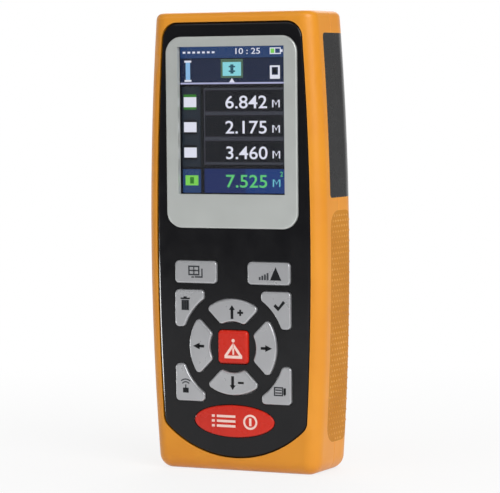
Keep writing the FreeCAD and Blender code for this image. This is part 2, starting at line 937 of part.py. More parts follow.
# Screen module: a tray, the glass let into it, and a foam pad behind
def draw_module(sketch, margin="0"):
    draw_rectangle(
        sketch,
        f"(0 - {MODULE_HALF} - {margin})",
        f"({MODULE_HALF} + {margin})",
        f"({MODULE_BOTTOM} - {margin})",
        f"({MODULE_TOP} + {margin})",
    )


def draw_glass(sketch, gap):
    half = f"({MODULE_HALF} - module_rim + {gap})"
    draw_rectangle(
        sketch, f"(0 - {half})", half,
        f"({SCREEN_LOW} - module_rim - {gap})", f"({MODULE_TOP} - module_rim / 2 + {gap})",
    )


GLASS_BACK = f"({MODULE_FRONT} + glass_thick)"
tray = new_body("display_tray")
prism(tray, "tray_plate", "Y", MODULE_FRONT, MODULE_BACK, draw_module)
prism(tray, "glass_seat", "Y", MODULE_FRONT, GLASS_BACK, lambda s: draw_glass(s, "fit_gap"), cut=True)
keep("display_tray", tray)

glass = new_body("display_glass")
prism(glass, "glass_plate", "Y", MODULE_FRONT, GLASS_BACK, lambda s: draw_glass(s, "0"))
keep("display_glass", glass)

keep(
    "display_foam",
    block(
        "display_foam",
        (f"(foam_side - {MODULE_HALF})", f"({MODULE_HALF} - foam_side)"),
        (MODULE_BACK, BOARD_FRONT),
        (f"({MODULE_BOTTOM} + foam_margin)", f"({MODULE_TOP} - foam_margin)"),
    ),
)


# Rubber mat round the plungers, and the snap domes below them
def draw_keypad(sketch):
    """A rectangle with two large round corners at its foot."""
    side_start = f"({KEYPAD_LOW} + keypad_low_round)"
    foot = f"({KEYPAD_HALF} - keypad_low_round)"
    draw_outline(
        sketch,
        [
            (f"(0 - {foot})", KEYPAD_LOW),
            (foot, KEYPAD_LOW, "keypad_low_round", 1),
            (KEYPAD_HALF, side_start),
            (KEYPAD_HALF, KEYPAD_HIGH),
            (f"(0 - {KEYPAD_HALF})", KEYPAD_HIGH),
            (f"(0 - {KEYPAD_HALF})", side_start, "keypad_low_round", 1),
        ],
    )


def draw_dome_rooms(sketch):
    for draw, across, up in KEYS.values():
        draw_circle(sketch, across, up, "dome_room")


key_mat = new_body("key_mat")
prism(key_mat, "mat_sheet", "Y", MAT_FRONT, BOARD_FRONT, draw_keypad)
prism(key_mat, "dome_rooms", "Y", MAT_FRONT, BOARD_FRONT, draw_dome_rooms, cut=True)
keep("key_mat", key_mat)

domes = [
    rod(f"{name}_dome", "Y", (across, DOME_FRONT, up), "dome_radius", "dome_height")
    for name, (draw, across, up) in KEYS.items()
]
keep("dome_switches", group("dome_switches", domes))

# Main circuit board on six posts, its screws and its larger parts
POSTS = [
    (across, level)
    for side, level in (
        ("post_low_side", f"({KEYPAD_LOW} + post_rise)"),
        (POST_SIDE, f"(({KEYPAD_HIGH} + {MODULE_BOTTOM}) / 2)"),
        (POST_SIDE, f"({MODULE_TOP} - post_drop)"),
    )
    for across in mirrored(side)
]


def draw_posts(sketch, radius):
    for across, level in POSTS:
        draw_circle(sketch, across, level, radius)


board = new_body("main_board")
prism(
    board, "board_sheet", "Y", BOARD_FRONT, BOARD_BACK,
    lambda s: draw_barrel(s, "(wall + board_gap)", KEYPAD_LOW, BOARD_HIGH),
)
prism(
    board, "board_holes", "Y", BOARD_FRONT, BOARD_BACK,
    lambda s: draw_posts(s, "(board_screw_radius + screw_clear)"), cut=True,
)
keep("main_board", board)


def screw(name, across, up, head, radius, head_back, head_thick, reach):
    """A screw driven from the back: a head, then a shank that reaches forward."""
    head_front = f"({head_back} - {head_thick})"
    cap = rod(f"{name}_head", "Y", (across, head_front, up), head, head_thick)
    start = f"({head_front} - {reach})"
    shank = rod(f"{name}_shank", "Y", (across, start, up), radius, reach)
    return boolean("Fuse", name, cap, shank)


board_screws = [
    screw(
        f"board_screw_{number}", across, level, "board_screw_head", "board_screw_radius",
        f"({BOARD_BACK} + board_screw_head_thick)", "board_screw_head_thick",
        "(board_thick + board_screw_reach)",
    )
    for number, (across, level) in enumerate(POSTS, start=1)
]
keep("board_screws", group("board_screws", board_screws))

keep(
    "processor_chip",
    block(
        "processor_chip",
        ("(0 - chip_side / 2)", "(chip_side / 2)"),
        (BOARD_BACK, f"({BOARD_BACK} + chip_thick)"),
        ("(chip_level - chip_side / 2)", "(chip_level + chip_side / 2)"),
    ),
)
keep(
    "buzzer",
    rod("buzzer", "Y", ("buzzer_side", BOARD_BACK, "buzzer_level"), "buzzer_radius", "buzzer_thick"),
)

# Case screws: two at the base end and two at the top end
SCREWS = [
    (across, level)
    for side, level in (
        ("base_screw_side", BASE_SCREW_LEVEL),
        (TOP_SCREW_SIDE, TOP_SCREW_LEVEL),
    )
    for across in mirrored(side)
]
SCREW_HEAD_BACK = f"({BACK} - screw_sink)"
SCREW_SEAT = f"({SCREW_HEAD_BACK} - screw_head_thick)"
SCREW_TIP = f"({SEAM} - screw_reach)"


def draw_screws(sketch, radius):
    for across, level in SCREWS:
        draw_circle(sketch, across, level, radius)


case_screws = [
    screw(
        f"case_screw_{number}", across, level, "screw_head", "screw_radius",
        SCREW_HEAD_BACK, "screw_head_thick", f"({SCREW_SEAT} - {SCREW_TIP})",
    )
    for number, (across, level) in enumerate(SCREWS, start=1)
]
keep("case_screws", group("case_screws", case_screws))

# Front half of the case
front_case = new_body("front_case")
case_form(front_case, FRONT, SEAM)
round_case(front_case, True, False)
bevel_seam(front_case)
prism(
    front_case, "front_cavity", "Y", LEDGE_BACK, SEAM,
    lambda s: draw_barrel(s, "wall", "wall", INNER_TOP), cut=True,
)
prism(
    front_case, "panel_recess", "Y", FRONT, PANEL_BACK,
    lambda s: draw_panel(s, "fit_gap"), cut=True,
)
round_panel(front_case, "recess", "fit_gap")
prism(
    front_case, "module_opening", "Y", PANEL_BACK, LEDGE_BACK,
    lambda s: draw_module(s, "module_gap"), cut=True,
)
prism(front_case, "keypad_opening", "Y", PANEL_BACK, LEDGE_BACK, draw_keypad, cut=True)
prism(front_case, "board_posts", "Y", LEDGE_BACK, BOARD_FRONT, lambda s: draw_posts(s, "post_radius"))
prism(
    front_case, "board_post_bores", "Y", PANEL_BACK, BOARD_FRONT,
    lambda s: draw_posts(s, "post_bore"), cut=True,
)
prism(front_case, "screw_posts", "Y", LEDGE_BACK, SEAM, lambda s: draw_screws(s, "screw_boss"))
prism(
    front_case, "screw_bores", "Y", f"({SCREW_TIP} - screw_clear)", SEAM,
    lambda s: draw_screws(s, "(screw_radius + screw_clear)"), cut=True,
)
keep("front_housing", boolean("Cut", "front_housing", front_case, case_cuts))

# Back half of the case: battery bay below, optics bay above
back_case = new_body("back_case")
case_form(back_case, SEAM, BACK)
round_case(back_case, False, True)
bevel_seam(back_case)
prism(
    back_case, "battery_bay", "Y", BAY_FLOOR, BACK,
    lambda s: draw_rectangle(s, f"(0 - {BAY_HALF})", BAY_HALF, BAY_LOW, BAY_HIGH), cut=True,
)


def draw_door(sketch, gap):
    draw_rectangle(
        sketch,
        f"(0 - {DOOR_HALF} - {gap})",
        f"({DOOR_HALF} + {gap})",
        f"({DOOR_LOW} - {gap})",
        f"({DOOR_HIGH} + {gap})",
    )


def door_corner(edge, middle):
    wide = abs(middle.x) > value(f"{BAY_HALF} + door_lap / 2")
    return runs_along(edge, "Y") and wide and near_to(edge.BoundBox.YMin, value(DOOR_SEAT))


prism(back_case, "door_recess", "Y", DOOR_SEAT, BACK, lambda s: draw_door(s, "door_gap"), cut=True)
soften(back_case, "door_recess_corner", "door_corner + door_gap", door_corner)


def draw_tabs(sketch, gap, low, high):
    for across in mirrored("tab_side"):
        draw_rectangle(
            sketch,
            f"({across} - tab_wide / 2 - {gap})",
            f"({across} + tab_wide / 2 + {gap})",
            low,
            high,
        )


TAB_BACK = f"({BACK} - tab_lip - fit_gap)"
TAB_FRONT = f"({TAB_BACK} - tab_thick)"
TAB_LOW = f"({DOOR_LOW} - tab_reach)"
prism(
    back_case, "tab_slots", "Y", f"({TAB_FRONT} - tab_room)", f"({BACK} - tab_lip)",
    lambda s: draw_tabs(s, "door_gap", f"({TAB_LOW} - door_gap)", f"({BAY_LOW} + fit_gap)"),
    cut=True,
)
prism(
    back_case, "insert_hole", "Y", f"({INSERT_MOUTH} - insert_length)", BACK,
    lambda s: draw_circle(s, "0", INSERT_LEVEL, "insert_radius"), cut=True,
)
prism(
    back_case, "screw_holes", "Y", SEAM, BACK,
    lambda s: draw_screws(s, "(screw_radius + screw_clear)"), cut=True,
)
prism(
    back_case, "screw_counterbores", "Y", SCREW_SEAT, BACK,
    lambda s: draw_screws(s, "(screw_head + screw_clear)"), cut=True,
)

# The optics bay is the case's inner form, less the bosses that stand in it
BAY_MOUTH = f"({SEAM} - wall)"
optics_bay = new_body("optics_bay")
prism(
    optics_bay, "bay_form", "Y", BAY_MOUTH, INNER_BACK,
    lambda s: draw_barrel(s, "wall", BAY_WALL_TOP, INNER_TOP),
)
soften(
    optics_bay, "bay_round", "back_round - wall",
    lambda edge, middle: long_side(edge, value(INNER_BACK)),
)
prism(
    optics_bay, "insert_boss", "Y", f"({INSERT_MOUTH} - insert_length)", INNER_BACK,
    lambda s: draw_circle(s, "0", INSERT_LEVEL, "(insert_radius + insert_boss_wall)"),
    cut=True,
)
prism(
    optics_bay, "screw_bosses", "Y", BAY_MOUTH, INNER_BACK,
    lambda s: draw_screws(s, "screw_boss"), cut=True,
)
hollow_back = boolean("Cut", "hollow_back", back_case, optics_bay)
keep("back_housing", boolean("Cut", "back_housing", hollow_back, case_cuts))

# Battery door: tabs at its foot, a springy latch tongue with ridges at its head
door = new_body("battery_door")
prism(door, "door_plate", "Y", DOOR_SEAT, BACK, lambda s: draw_door(s, "0"))
soften(door, "door_corner", "door_corner", lambda edge, middle: runs_along(edge, "Y"))
prism(
    door, "door_tabs", "Y", TAB_FRONT, TAB_BACK,
    lambda s: draw_tabs(s, "0", TAB_LOW, BAY_LOW),
)


def draw_slits(sketch):
    for across in mirrored("(latch_half + latch_slit / 2)"):
        draw_rectangle(
            sketch,
            f"({across} - latch_slit / 2)",
            f"({across} + latch_slit / 2)",
            "latch_low",
            f"({DOOR_HIGH} + door_gap)",
        )


RIDGES = 4


def draw_ridges(sketch):
    half = "(latch_half - ridge_inset)"
    for number in range(RIDGES):
        high = f"({DOOR_HIGH} - ridge_margin - {number} * ridge_pitch)"
        draw_rectangle(sketch, f"(0 - {half})", half, f"({high} - ridge_wide)", high)


prism(door, "latch_slits", "Y", DOOR_SEAT, BACK, draw_slits, cut=True)
prism(door, "latch_ridges", "Y", f"({BACK} - ridge_deep)", BACK, draw_ridges, cut=True)
keep("battery_door", door)

# Three cells and the plates that press on their ends
COLUMNS = ("(0 - cell_step)", "0", "cell_step")
cells = []
for number, across in enumerate(COLUMNS, start=1):
    can = rod(
        f"cell_can_{number}", "Z", (across, CELL_CENTRE, "cell_low"), "cell_radius",
        "(cell_length - contact_thick * 2)",
    )
    button_low = "(cell_low + cell_length - contact_thick * 2)"
    button = rod(
        f"cell_button_{number}", "Z", (across, CELL_CENTRE, button_low), "button_radius",
        "(contact_thick * 2)",
    )
    cells.append(boolean("Fuse", f"cell_{number}", can, button))
keep("battery_cells", group("battery_cells", cells))


def contact(name, across, plate_low, dimple_low, dimple_high):
    """A flat spring plate with a pressed dimple that meets the cell."""
    plate = block(
        f"{name}_plate",
        (f"({across} - contact_wide / 2)", f"({across} + contact_wide / 2)"),
        (f"({CELL_CENTRE} - contact_tall / 2)", f"({CELL_CENTRE} + contact_tall / 2)"),
        (plate_low, f"({plate_low} + contact_thick)"),
    )
    dimple = rod(
        f"{name}_dimple", "Z", (across, CELL_CENTRE, dimple_low), "button_radius",
        f"({dimple_high} - {dimple_low})",
    )
    return boolean("Fuse", name, plate, dimple)


upper, lower = [], []
for number, across in enumerate(COLUMNS, start=1):
    upper.append(
        contact(
            f"upper_contact_{number}", across, f"({BAY_HIGH} - contact_thick)",
            "(cell_low + cell_length)", f"({BAY_HIGH} - contact_thick)",
        )
    )
    lower.append(
        contact(
            f"lower_contact_{number}", across, BAY_LOW,
            f"({BAY_LOW} + contact_thick)", "cell_low",
        )
    )
keep("battery_contacts_upper", group("battery_contacts_upper", upper))
keep("battery_contacts_lower", group("battery_contacts_lower", lower))

# Brass tripod socket in the back
insert = new_body("tripod_insert")
prism(
    insert, "insert_barrel", "Y", f"({INSERT_MOUTH} - insert_length)", INSERT_MOUTH,
    lambda s: draw_circle(s, "0", INSERT_LEVEL, "insert_radius"),
)
prism(
    insert, "insert_bore", "Y", f"({INSERT_MOUTH} - insert_bore_depth)", INSERT_MOUTH,
    lambda s: draw_circle(s, "0", INSERT_LEVEL, "insert_bore"), cut=True,
)
keep("tripod_insert", insert)

# Optics: a carrier block, the laser barrel, the receiving lens and its board
LASER_TOP = f"({INNER_TOP} - laser_drop)"
THROAT_TOP = f"({CARRIER_LOW} + diode_height + throat_rise)"
carrier = new_body("optics_carrier")
prism(
    carrier, "carrier_block", "Z", CARRIER_LOW, INNER_TOP,
    lambda s: draw_rectangle(s, f"(0 - {CARRIER_HALF})", CARRIER_HALF, CARRIER_FRONT, CARRIER_BACK),
)
prism(
    carrier, "emitter_bore", "Z", CARRIER_LOW, INNER_TOP,
    lambda s: draw_circle(s, EMITTER, OPTICS_LEVEL, "emitter_bore"), cut=True,
)
prism(
    carrier, "receiver_bore", "Z", THROAT_TOP, INNER_TOP,
    lambda s: draw_circle(s, RECEIVER, OPTICS_LEVEL, RECEIVER_BORE), cut=True,
)
prism(
    carrier, "receiver_throat", "Z", CARRIER_LOW, THROAT_TOP,
    lambda s: draw_circle(s, RECEIVER, OPTICS_LEVEL, "receiver_throat"), cut=True,
)
keep("optics_carrier", carrier)

laser = new_body("laser_module")
prism(
    laser, "laser_barrel", "Z", f"({LASER_TOP} - laser_length)", f"({LASER_TOP} - laser_nose)",
    lambda s: draw_circle(s, EMITTER, OPTICS_LEVEL, "laser_radius"),
)
prism(
    laser, "laser_nose", "Z", f"({LASER_TOP} - laser_nose)", LASER_TOP,
    lambda s: draw_circle(s, EMITTER, OPTICS_LEVEL, "nose_radius"),
)
prism(
    laser, "laser_aperture", "Z", f"({LASER_TOP} - laser_nose)", LASER_TOP,
    lambda s: draw_circle(s, EMITTER, OPTICS_LEVEL, "aperture_radius"), cut=True,
)
keep("laser_module", laser)

plate = new_body("optics_plate")
prism(plate, "plate_sheet", "Z", INNER_TOP, PLATE_TOP, lambda s: draw_plate(s, "0"))
soften(plate, "plate_corner", "plate_corner", lambda edge, middle: runs_along(edge, "Z"))
prism(
    plate, "emitter_hole", "Z", INNER_TOP, PLATE_TOP,
    lambda s: draw_circle(s, EMITTER, OPTICS_LEVEL, "emitter_hole"), cut=True,
)
prism(
    plate, "receiver_hole", "Z", INNER_TOP, PLATE_TOP,
    lambda s: draw_circle(s, RECEIVER, OPTICS_LEVEL, RECEIVER_HOLE), cut=True,
)
keep("optics_plate", plate)

keep(
    "emitter_window",
    rod(
        "emitter_window", "Z", (EMITTER, OPTICS_LEVEL, INNER_TOP),
        "(emitter_hole - fit_gap)", "emitter_window_thick",
    ),
)

# Receiving lens: a rim clamped under the plate and a domed front
lens_rim = rod(
    "lens_rim", "Z", (RECEIVER, OPTICS_LEVEL, f"({INNER_TOP} - lens_rim)"),
    LENS_RADIUS, "lens_rim",
)
lens_face = rod(
    "lens_face", "Z", (RECEIVER, OPTICS_LEVEL, f"({INNER_TOP} - lens_rim)"),
    f"({RECEIVER_HOLE} - fit_gap)", "(lens_rim + plate_thick)",
)
lens_ball = doc.addObject("Part::Sphere", "lens_ball")
lens_ball.setExpression("Radius", bound("lens_dome"))
set_place(lens_ball, RECEIVER, OPTICS_LEVEL, f"({PLATE_TOP} - lens_sink - lens_dome)")
lens_dome = boolean("Common", "lens_dome", lens_face, lens_ball)
keep("receiver_lens", boolean("Fuse", "receiver_lens", lens_rim, lens_dome))

keep(
    "receiver_board",
    block(
        "receiver_board",
        (f"(0 - {CARRIER_HALF})", CARRIER_HALF),
        (CARRIER_FRONT, CARRIER_BACK),
        (f"({CARRIER_LOW} - receiver_board_thick)", CARRIER_LOW),
    ),
)
keep(
    "photodiode",
    rod(
        "photodiode", "Z", (RECEIVER, OPTICS_LEVEL, CARRIER_LOW),
        "diode_radius", "diode_height",
    ),
)

# Write one file for each node, after every object has been looked at
doc.recompute()
for thing in doc.Objects:
    faults = [state for state in thing.State if state in ("Invalid", "Error")]
    if faults:
        raise RuntimeError(f"{thing.Name} is {faults}")
for name, piece in nodes.items():
    shape = piece.Shape
    if shape.isNull() or not shape.isValid() or not shape.Solids:
        raise RuntimeError(f"{name} has no sound shape")

os.makedirs("parts", exist_ok=True)
for name, piece in nodes.items():
    piece.Shape.exportStep(f"parts/{name}.step")
    print(f"{name}: {len(piece.Shape.Solids)} solid, {piece.Shape.Volume:.1f} mm3")
print(f"{len(nodes)} nodes")
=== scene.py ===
# %% [markdown]
# A laser distance meter, dressed for its portrait.
# The construction comes in as a fixed frame: every shell, key and lens already has its real size and place.
# What is left is a finisher's work: colours, grain, printed symbols, the lit display and the light.

# %% Load the frame
import json
import math

import bmesh
import bpy
from mathutils import Matrix, Vector
from mathutils.bvhtree import BVHTree

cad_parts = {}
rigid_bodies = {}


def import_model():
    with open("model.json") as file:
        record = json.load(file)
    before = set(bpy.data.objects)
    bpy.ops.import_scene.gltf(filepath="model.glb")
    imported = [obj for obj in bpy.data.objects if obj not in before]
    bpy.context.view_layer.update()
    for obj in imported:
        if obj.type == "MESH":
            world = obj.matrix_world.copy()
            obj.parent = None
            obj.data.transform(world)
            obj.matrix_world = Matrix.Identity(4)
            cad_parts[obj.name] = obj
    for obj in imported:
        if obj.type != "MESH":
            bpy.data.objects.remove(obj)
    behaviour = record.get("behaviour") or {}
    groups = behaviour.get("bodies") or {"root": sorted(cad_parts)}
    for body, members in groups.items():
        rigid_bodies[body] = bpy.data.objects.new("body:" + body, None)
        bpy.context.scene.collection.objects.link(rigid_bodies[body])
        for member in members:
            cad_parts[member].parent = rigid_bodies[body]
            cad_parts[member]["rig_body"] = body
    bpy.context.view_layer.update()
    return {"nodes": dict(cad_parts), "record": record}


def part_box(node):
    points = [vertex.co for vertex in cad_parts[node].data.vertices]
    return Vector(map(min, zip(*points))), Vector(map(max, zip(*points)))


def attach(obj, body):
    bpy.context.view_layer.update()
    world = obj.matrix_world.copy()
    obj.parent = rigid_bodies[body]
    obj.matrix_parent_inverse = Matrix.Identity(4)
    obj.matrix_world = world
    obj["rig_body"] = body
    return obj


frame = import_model()
nodes = frame["nodes"]
print("pieces in the frame:", len(nodes))

# %% [markdown]
# Small measures are easier to read in millimetres, so one named factor turns them into Blender's metres.
# The front of the meter looks along -Y, its height is Z, and the origin is under the middle of the case.
# LIFT is the hair's breadth that keeps a print from sinking into the face below it.

# %% Measures
MM = 0.001
LIFT = 0.012 * MM
PROBE = 5 * MM
FULL_TURN = 2 * math.pi
HOUSING = "housing"
scene = bpy.context.scene
case_low, case_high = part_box("front_housing")
case_height = case_high.z - case_low.z
print("case height in mm:", round(case_height / MM, 2))

# %% [markdown]
# Colours are noted as they look on a screen, from 0 to 255, because that is how a finisher matches them.
# Shaders work in linear light, so each channel goes through the screen's curve first.

# %% Colours
CHANNEL_TOP = 255
CURVE_FOOT = 0.04045
CURVE_SLOPE = 12.92
CURVE_OFFSET = 0.055
CURVE_POWER = 2.4


def shade(red, green, blue):
    """A colour as seen on a screen, turned into linear light."""
    linear = []
    for channel in (red, green, blue):
        part = channel / CHANNEL_TOP
        if part <= CURVE_FOOT:
            linear.append(part / CURVE_SLOPE)
        else:
            linear.append(((part + CURVE_OFFSET) / (1 + CURVE_OFFSET)) ** CURVE_POWER)
    return (*linear, 1.0)


WHITE = (1, 1, 1, 1)
BLACK = (0, 0, 0, 1)
ORANGE = shade(234, 153, 34)
ORANGE_DEEP = shade(228, 145, 28)
# The lighter orange below is a painted highlight, laid along the sharp edges of the case.
ORANGE_EDGE_HIGHLIGHT = shade(244, 172, 74)
PAD_ORANGE = shade(204, 135, 38)
PAD_ORANGE_DEEP = shade(195, 126, 34)
# The dots' lighter orange is a painted highlight on their tops; they are moulded with the pad.
PAD_DOT_HIGHLIGHT = shade(226, 166, 84)
PANEL_BLACK = shade(20, 20, 23)
PANEL_BLACK_DEEP = shade(17, 17, 20)
GRIP_DARK = shade(22, 22, 23)
GRIP_LIGHT = shade(30, 30, 31)
TRIM_SILVER = shade(208, 212, 209)
TRIM_SILVER_DEEP = shade(201, 205, 202)
KEY_SILVER = shade(190, 191, 194)
KEY_SILVER_DEEP = shade(183, 184, 187)
KEY_RED = shade(216, 44, 24)
KEY_RED_DEEP = shade(208, 38, 22)
INK = shade(26, 27, 30)
INK_GREY = shade(60, 62, 66)
INK_PALE = shade(250, 214, 204)
print("orange in linear light:", [round(part, 3) for part in ORANGE])

# %% [markdown]
# A finish is a small network of nodes, and so is the light of the room. Both need the same few steps:
# add a node, feed a socket, stretch a value, mix two colours. They are written once here,
# so that each finish further down reads like a recipe.


# %% Steps of a network
def pick(sockets, identifier):
    """The socket with this identifier, because a mix node has several sockets of one name."""
    return next(socket for socket in sockets if socket.identifier == identifier)


class Network:
    """A network of nodes under construction."""

    def __init__(self, tree):
        self.tree = tree

    def node(self, kind, **settings):
        made = self.tree.nodes.new(kind)
        for setting, value in settings.items():
            setattr(made, setting, value)
        return made

    def feed(self, socket, value):
        """Links another socket to this one, or sets this one to a constant."""
        if isinstance(value, bpy.types.NodeSocket):
            self.tree.links.new(value, socket)
        else:
            socket.default_value = value

    def spread(self, value, low, high, start=0.3, end=0.7):
        """A value between start and end, stretched onto the range from low to high."""
        ranged = self.node("ShaderNodeMapRange")
        amounts = {"Value": value, "From Min": start, "From Max": end, "To Min": low, "To Max": high}
        for name, amount in amounts.items():
            self.feed(ranged.inputs[name], amount)
        return ranged.outputs["Result"]

    def combine(self, operation, first, second):
        """Two values made one, by the named operation."""
        step = self.node("ShaderNodeMath", operation=operation)
        self.feed(step.inputs[0], first)
        self.feed(step.inputs[1], second)
        return step.outputs["Value"]

    def blend(self, value, first, second, kind="MIX"):
        """A colour between two colours, or another blend of them, as far as the value says."""
        mix = self.node("ShaderNodeMix", data_type="RGBA", blend_type=kind)
        self.feed(mix.inputs["Factor"], value)
        self.feed(pick(mix.inputs, "A_Color"), first)
        self.feed(pick(mix.inputs, "B_Color"), second)
        return pick(mix.outputs, "Result_Color")


print("steps of a network are ready")

# %% [markdown]
# On a material, three more steps come back all the time: a noise for anything uneven, a bump for
# a fine relief, and a mask for edges. The noise reads Object coordinates, so it moves with its piece.
# The edge mask compares the true normal with a rounded one; they differ only where an edge is near.

# %% Steps of a finish
EDGE_SAMPLES = 4
EDGE_SHARP = 0.8
EDGE_FLAT = 0.99


class Finish(Network):
    """The network of one material, with its shader and its coordinates at hand."""

    def __init__(self, name):
        self.material = bpy.data.materials.new(name)
        self.material.use_nodes = True
        super().__init__(self.material.node_tree)
        self.shader = self.tree.nodes["Principled BSDF"]
        self.place = self.node("ShaderNodeTexCoord").outputs["Object"]

    def coat(self, **amounts):
        """Feeds the shader's sockets, named here with low lines for spaces."""
        for name, amount in amounts.items():
            self.feed(self.shader.inputs[name.replace("_", " ")], amount)

    def noise(self, size, detail):
        """A noise whose patches are about the given size across."""
        texture = self.node("ShaderNodeTexNoise")
        texture.inputs["Scale"].default_value = 1 / size
        texture.inputs["Detail"].default_value = detail
        self.feed(texture.inputs["Vector"], self.place)
        return texture.outputs["Fac"]

    def bump(self, value, height):
        """A relief of the given height."""
        relief = self.node("ShaderNodeBump")
        relief.inputs["Distance"].default_value = height
        self.feed(relief.inputs["Height"], value)
        return relief.outputs["Normal"]

    def edges(self, radius):
        """One on edges sharper than the radius, zero on open faces."""
        bevel = self.node("ShaderNodeBevel", samples=EDGE_SAMPLES)
        bevel.inputs["Radius"].default_value = radius
        geometry = self.node("ShaderNodeNewGeometry")
        compare = self.node("ShaderNodeVectorMath", operation="DOT_PRODUCT")
        self.feed(compare.inputs[0], bevel.outputs["Normal"])
        self.feed(compare.inputs[1], geometry.outputs["Normal"])
        return self.spread(compare.outputs["Value"], 1.0, 0.0, EDGE_SHARP, EDGE_FLAT)


print("steps of a finish are ready")

# %% [markdown]
# Moulded plastic is never one flat colour: the pigment drifts a little, and the tool leaves a fine grain.
# A flat colour with one gloss value would be quicker, but it looks like a computer picture.
# So a soft noise drifts the colour, a fine noise lifts the grain, and a slow noise varies the gloss.

# %% A moulded finish
DRIFT_SIZE = 14 * MM
GLOSS_SIZE = 5 * MM
EDGE_HIGHLIGHT_RADIUS = 0.25 * MM
DRIFT_DETAIL = 2
GRAIN_DETAIL = 3
GLOSS_DETAIL = 4
GLOSS_DROP = 0.04
GLOSS_RISE = 0.05
LACQUER_ROUGH = 0.08
shelf = {}


def moulded(name, colour, drift, rough, grain, edge_highlight=None, shine=0.5, metallic=0.0, lacquer=0.0):
    """Moulded plastic, with the size and height of its grain in millimetres."""
    finish = Finish(name)
    grain_size, grain_height = grain
    paint = finish.blend(finish.spread(finish.noise(DRIFT_SIZE, DRIFT_DETAIL), 0, 1), drift, colour)
    # Where an edge colour is given, sharp edges get it: a painted highlight.
    if edge_highlight is not None:
        paint = finish.blend(finish.edges(EDGE_HIGHLIGHT_RADIUS), paint, edge_highlight)
    gloss = finish.noise(GLOSS_SIZE, GLOSS_DETAIL)
    finish.coat(
        Base_Color=paint,
        Roughness=finish.spread(gloss, rough - GLOSS_DROP, rough + GLOSS_RISE),
        Normal=finish.bump(finish.noise(grain_size * MM, GRAIN_DETAIL), grain_height * MM),
        Specular_IOR_Level=shine,
        Metallic=metallic,
        Coat_Weight=lacquer,
        Coat_Roughness=LACQUER_ROUGH,
    )
    shelf[name] = finish.material


# The case's sharp edges carry a lighter orange, a painted highlight.
moulded("orange_case", ORANGE, ORANGE_DEEP, rough=0.4, grain=(0.22, 0.012), edge_highlight=ORANGE_EDGE_HIGHLIGHT)
moulded("orange_pad", PAD_ORANGE, PAD_ORANGE_DEEP, rough=0.6, grain=(0.3, 0.03), shine=0.25)
# The dots get a lighter orange than the pad: a painted highlight.
moulded("pad_dot", PAD_DOT_HIGHLIGHT, PAD_ORANGE, rough=0.5, grain=(0.3, 0.01), shine=0.3)
moulded("dark_grip", GRIP_DARK, GRIP_LIGHT, rough=0.26, grain=(0.25, 0.007))
moulded("silver_trim", TRIM_SILVER, TRIM_SILVER_DEEP, rough=0.34, grain=(0.12, 0.004), metallic=0.4)
moulded("silver_key", KEY_SILVER, KEY_SILVER_DEEP, rough=0.3, grain=(0.15, 0.0025), metallic=0.55)
moulded("red_key", KEY_RED, KEY_RED_DEEP, rough=0.26, grain=(0.2, 0.004), shine=0.35)
moulded("gloss_black", PANEL_BLACK, PANEL_BLACK_DEEP, rough=0.16, grain=(0.4, 0.002), shine=0.28)
print("outer finishes:", len(shelf))

# %% [markdown]
# The inner plastics show only when the meter is taken apart, but each has its own real finish:
# soft rubber under the keys, open foam behind the display, hard black mouldings, and the jacket of the cells.
# They are plastics too, so the same recipe serves with other colours, gloss and grain.

# %% Inner plastics
moulded("grey_rubber", shade(92, 94, 98), shade(84, 86, 90), rough=0.6, grain=(0.3, 0.02))
moulded("grey_foam", shade(70, 72, 76), shade(58, 60, 64), rough=0.9, grain=(0.5, 0.1))
moulded("dark_carrier", shade(34, 34, 37), shade(28, 28, 31), rough=0.5, grain=(0.2, 0.01))
moulded("plate_black", shade(30, 30, 33), shade(24, 24, 27), rough=0.24, grain=(0.3, 0.003))
moulded("chip_black", shade(34, 35, 38), shade(28, 29, 32), rough=0.5, grain=(0.1, 0.01))
moulded("cell_jacket", shade(46, 92, 150), shade(38, 80, 136), rough=0.28, grain=(0.3, 0.002), lacquer=0.4)
moulded("screen", shade(16, 17, 22), shade(14, 15, 20), rough=0.2, grain=(0.5, 0.001))
# The drive colour is dark as painted shade: it stands for the shadow inside a sunk cross.
moulded("screw_drive", shade(20, 20, 22), shade(28, 28, 30), rough=0.4, grain=(0.2, 0.004))
print("finishes on the shelf:", len(shelf))

# %% [markdown]
# Metal has no pigment under its surface: its colour sits in the reflection, so the shader is fully metallic.
# Drawing, turning and plating leave faint marks, which a noise in the gloss and in the relief stands for.

# %% Metals
STREAK_DETAIL = 5
STREAK_HEIGHT = 0.004 * MM
STREAK_DROP = 0.06
STREAK_RISE = 0.08


def metal(name, colour, rough, streak):
    """Metal with fine marks of the given size, in millimetres, in its gloss and relief."""
    finish = Finish(name)
    gloss = finish.noise(streak * MM, STREAK_DETAIL)
    finish.coat(
        Base_Color=colour,
        Metallic=1.0,
        Roughness=finish.spread(gloss, rough - STREAK_DROP, rough + STREAK_RISE),
        Normal=finish.bump(finish.noise(streak * MM, GLOSS_DETAIL), STREAK_HEIGHT),
    )
    shelf[name] = finish.material


metal("grey_metal", shade(176, 178, 182), rough=0.34, streak=0.6)
metal("spring_metal", shade(206, 204, 198), rough=0.26, streak=0.4)
metal("screw_steel", shade(120, 122, 126), rough=0.3, streak=0.3)
metal("brass_insert", shade(196, 160, 92), rough=0.26, streak=0.3)
metal("laser_brass", shade(204, 170, 100), rough=0.22, streak=0.3)
metal("diode_can", shade(196, 190, 176), rough=0.24, streak=0.3)
print("finishes on the shelf:", len(shelf))

# %% [markdown]
# The window is thin and flat, so it hardly bends the light, and a low index keeps the display where it is.
# The receiving lens is real glass with a coating. The boards are green solder mask over copper tracks:
# the edges of square cells make a fair pattern of tracks, without drawing any of them.

# %% Glass and circuit boards
CELL_EDGE = 2.5 * MM
TRACK_RISE = 0.03 * MM
TRACK_INNER = 0.03
TRACK_OUTER = 0.06
GLASS_ROUGH = 0.004


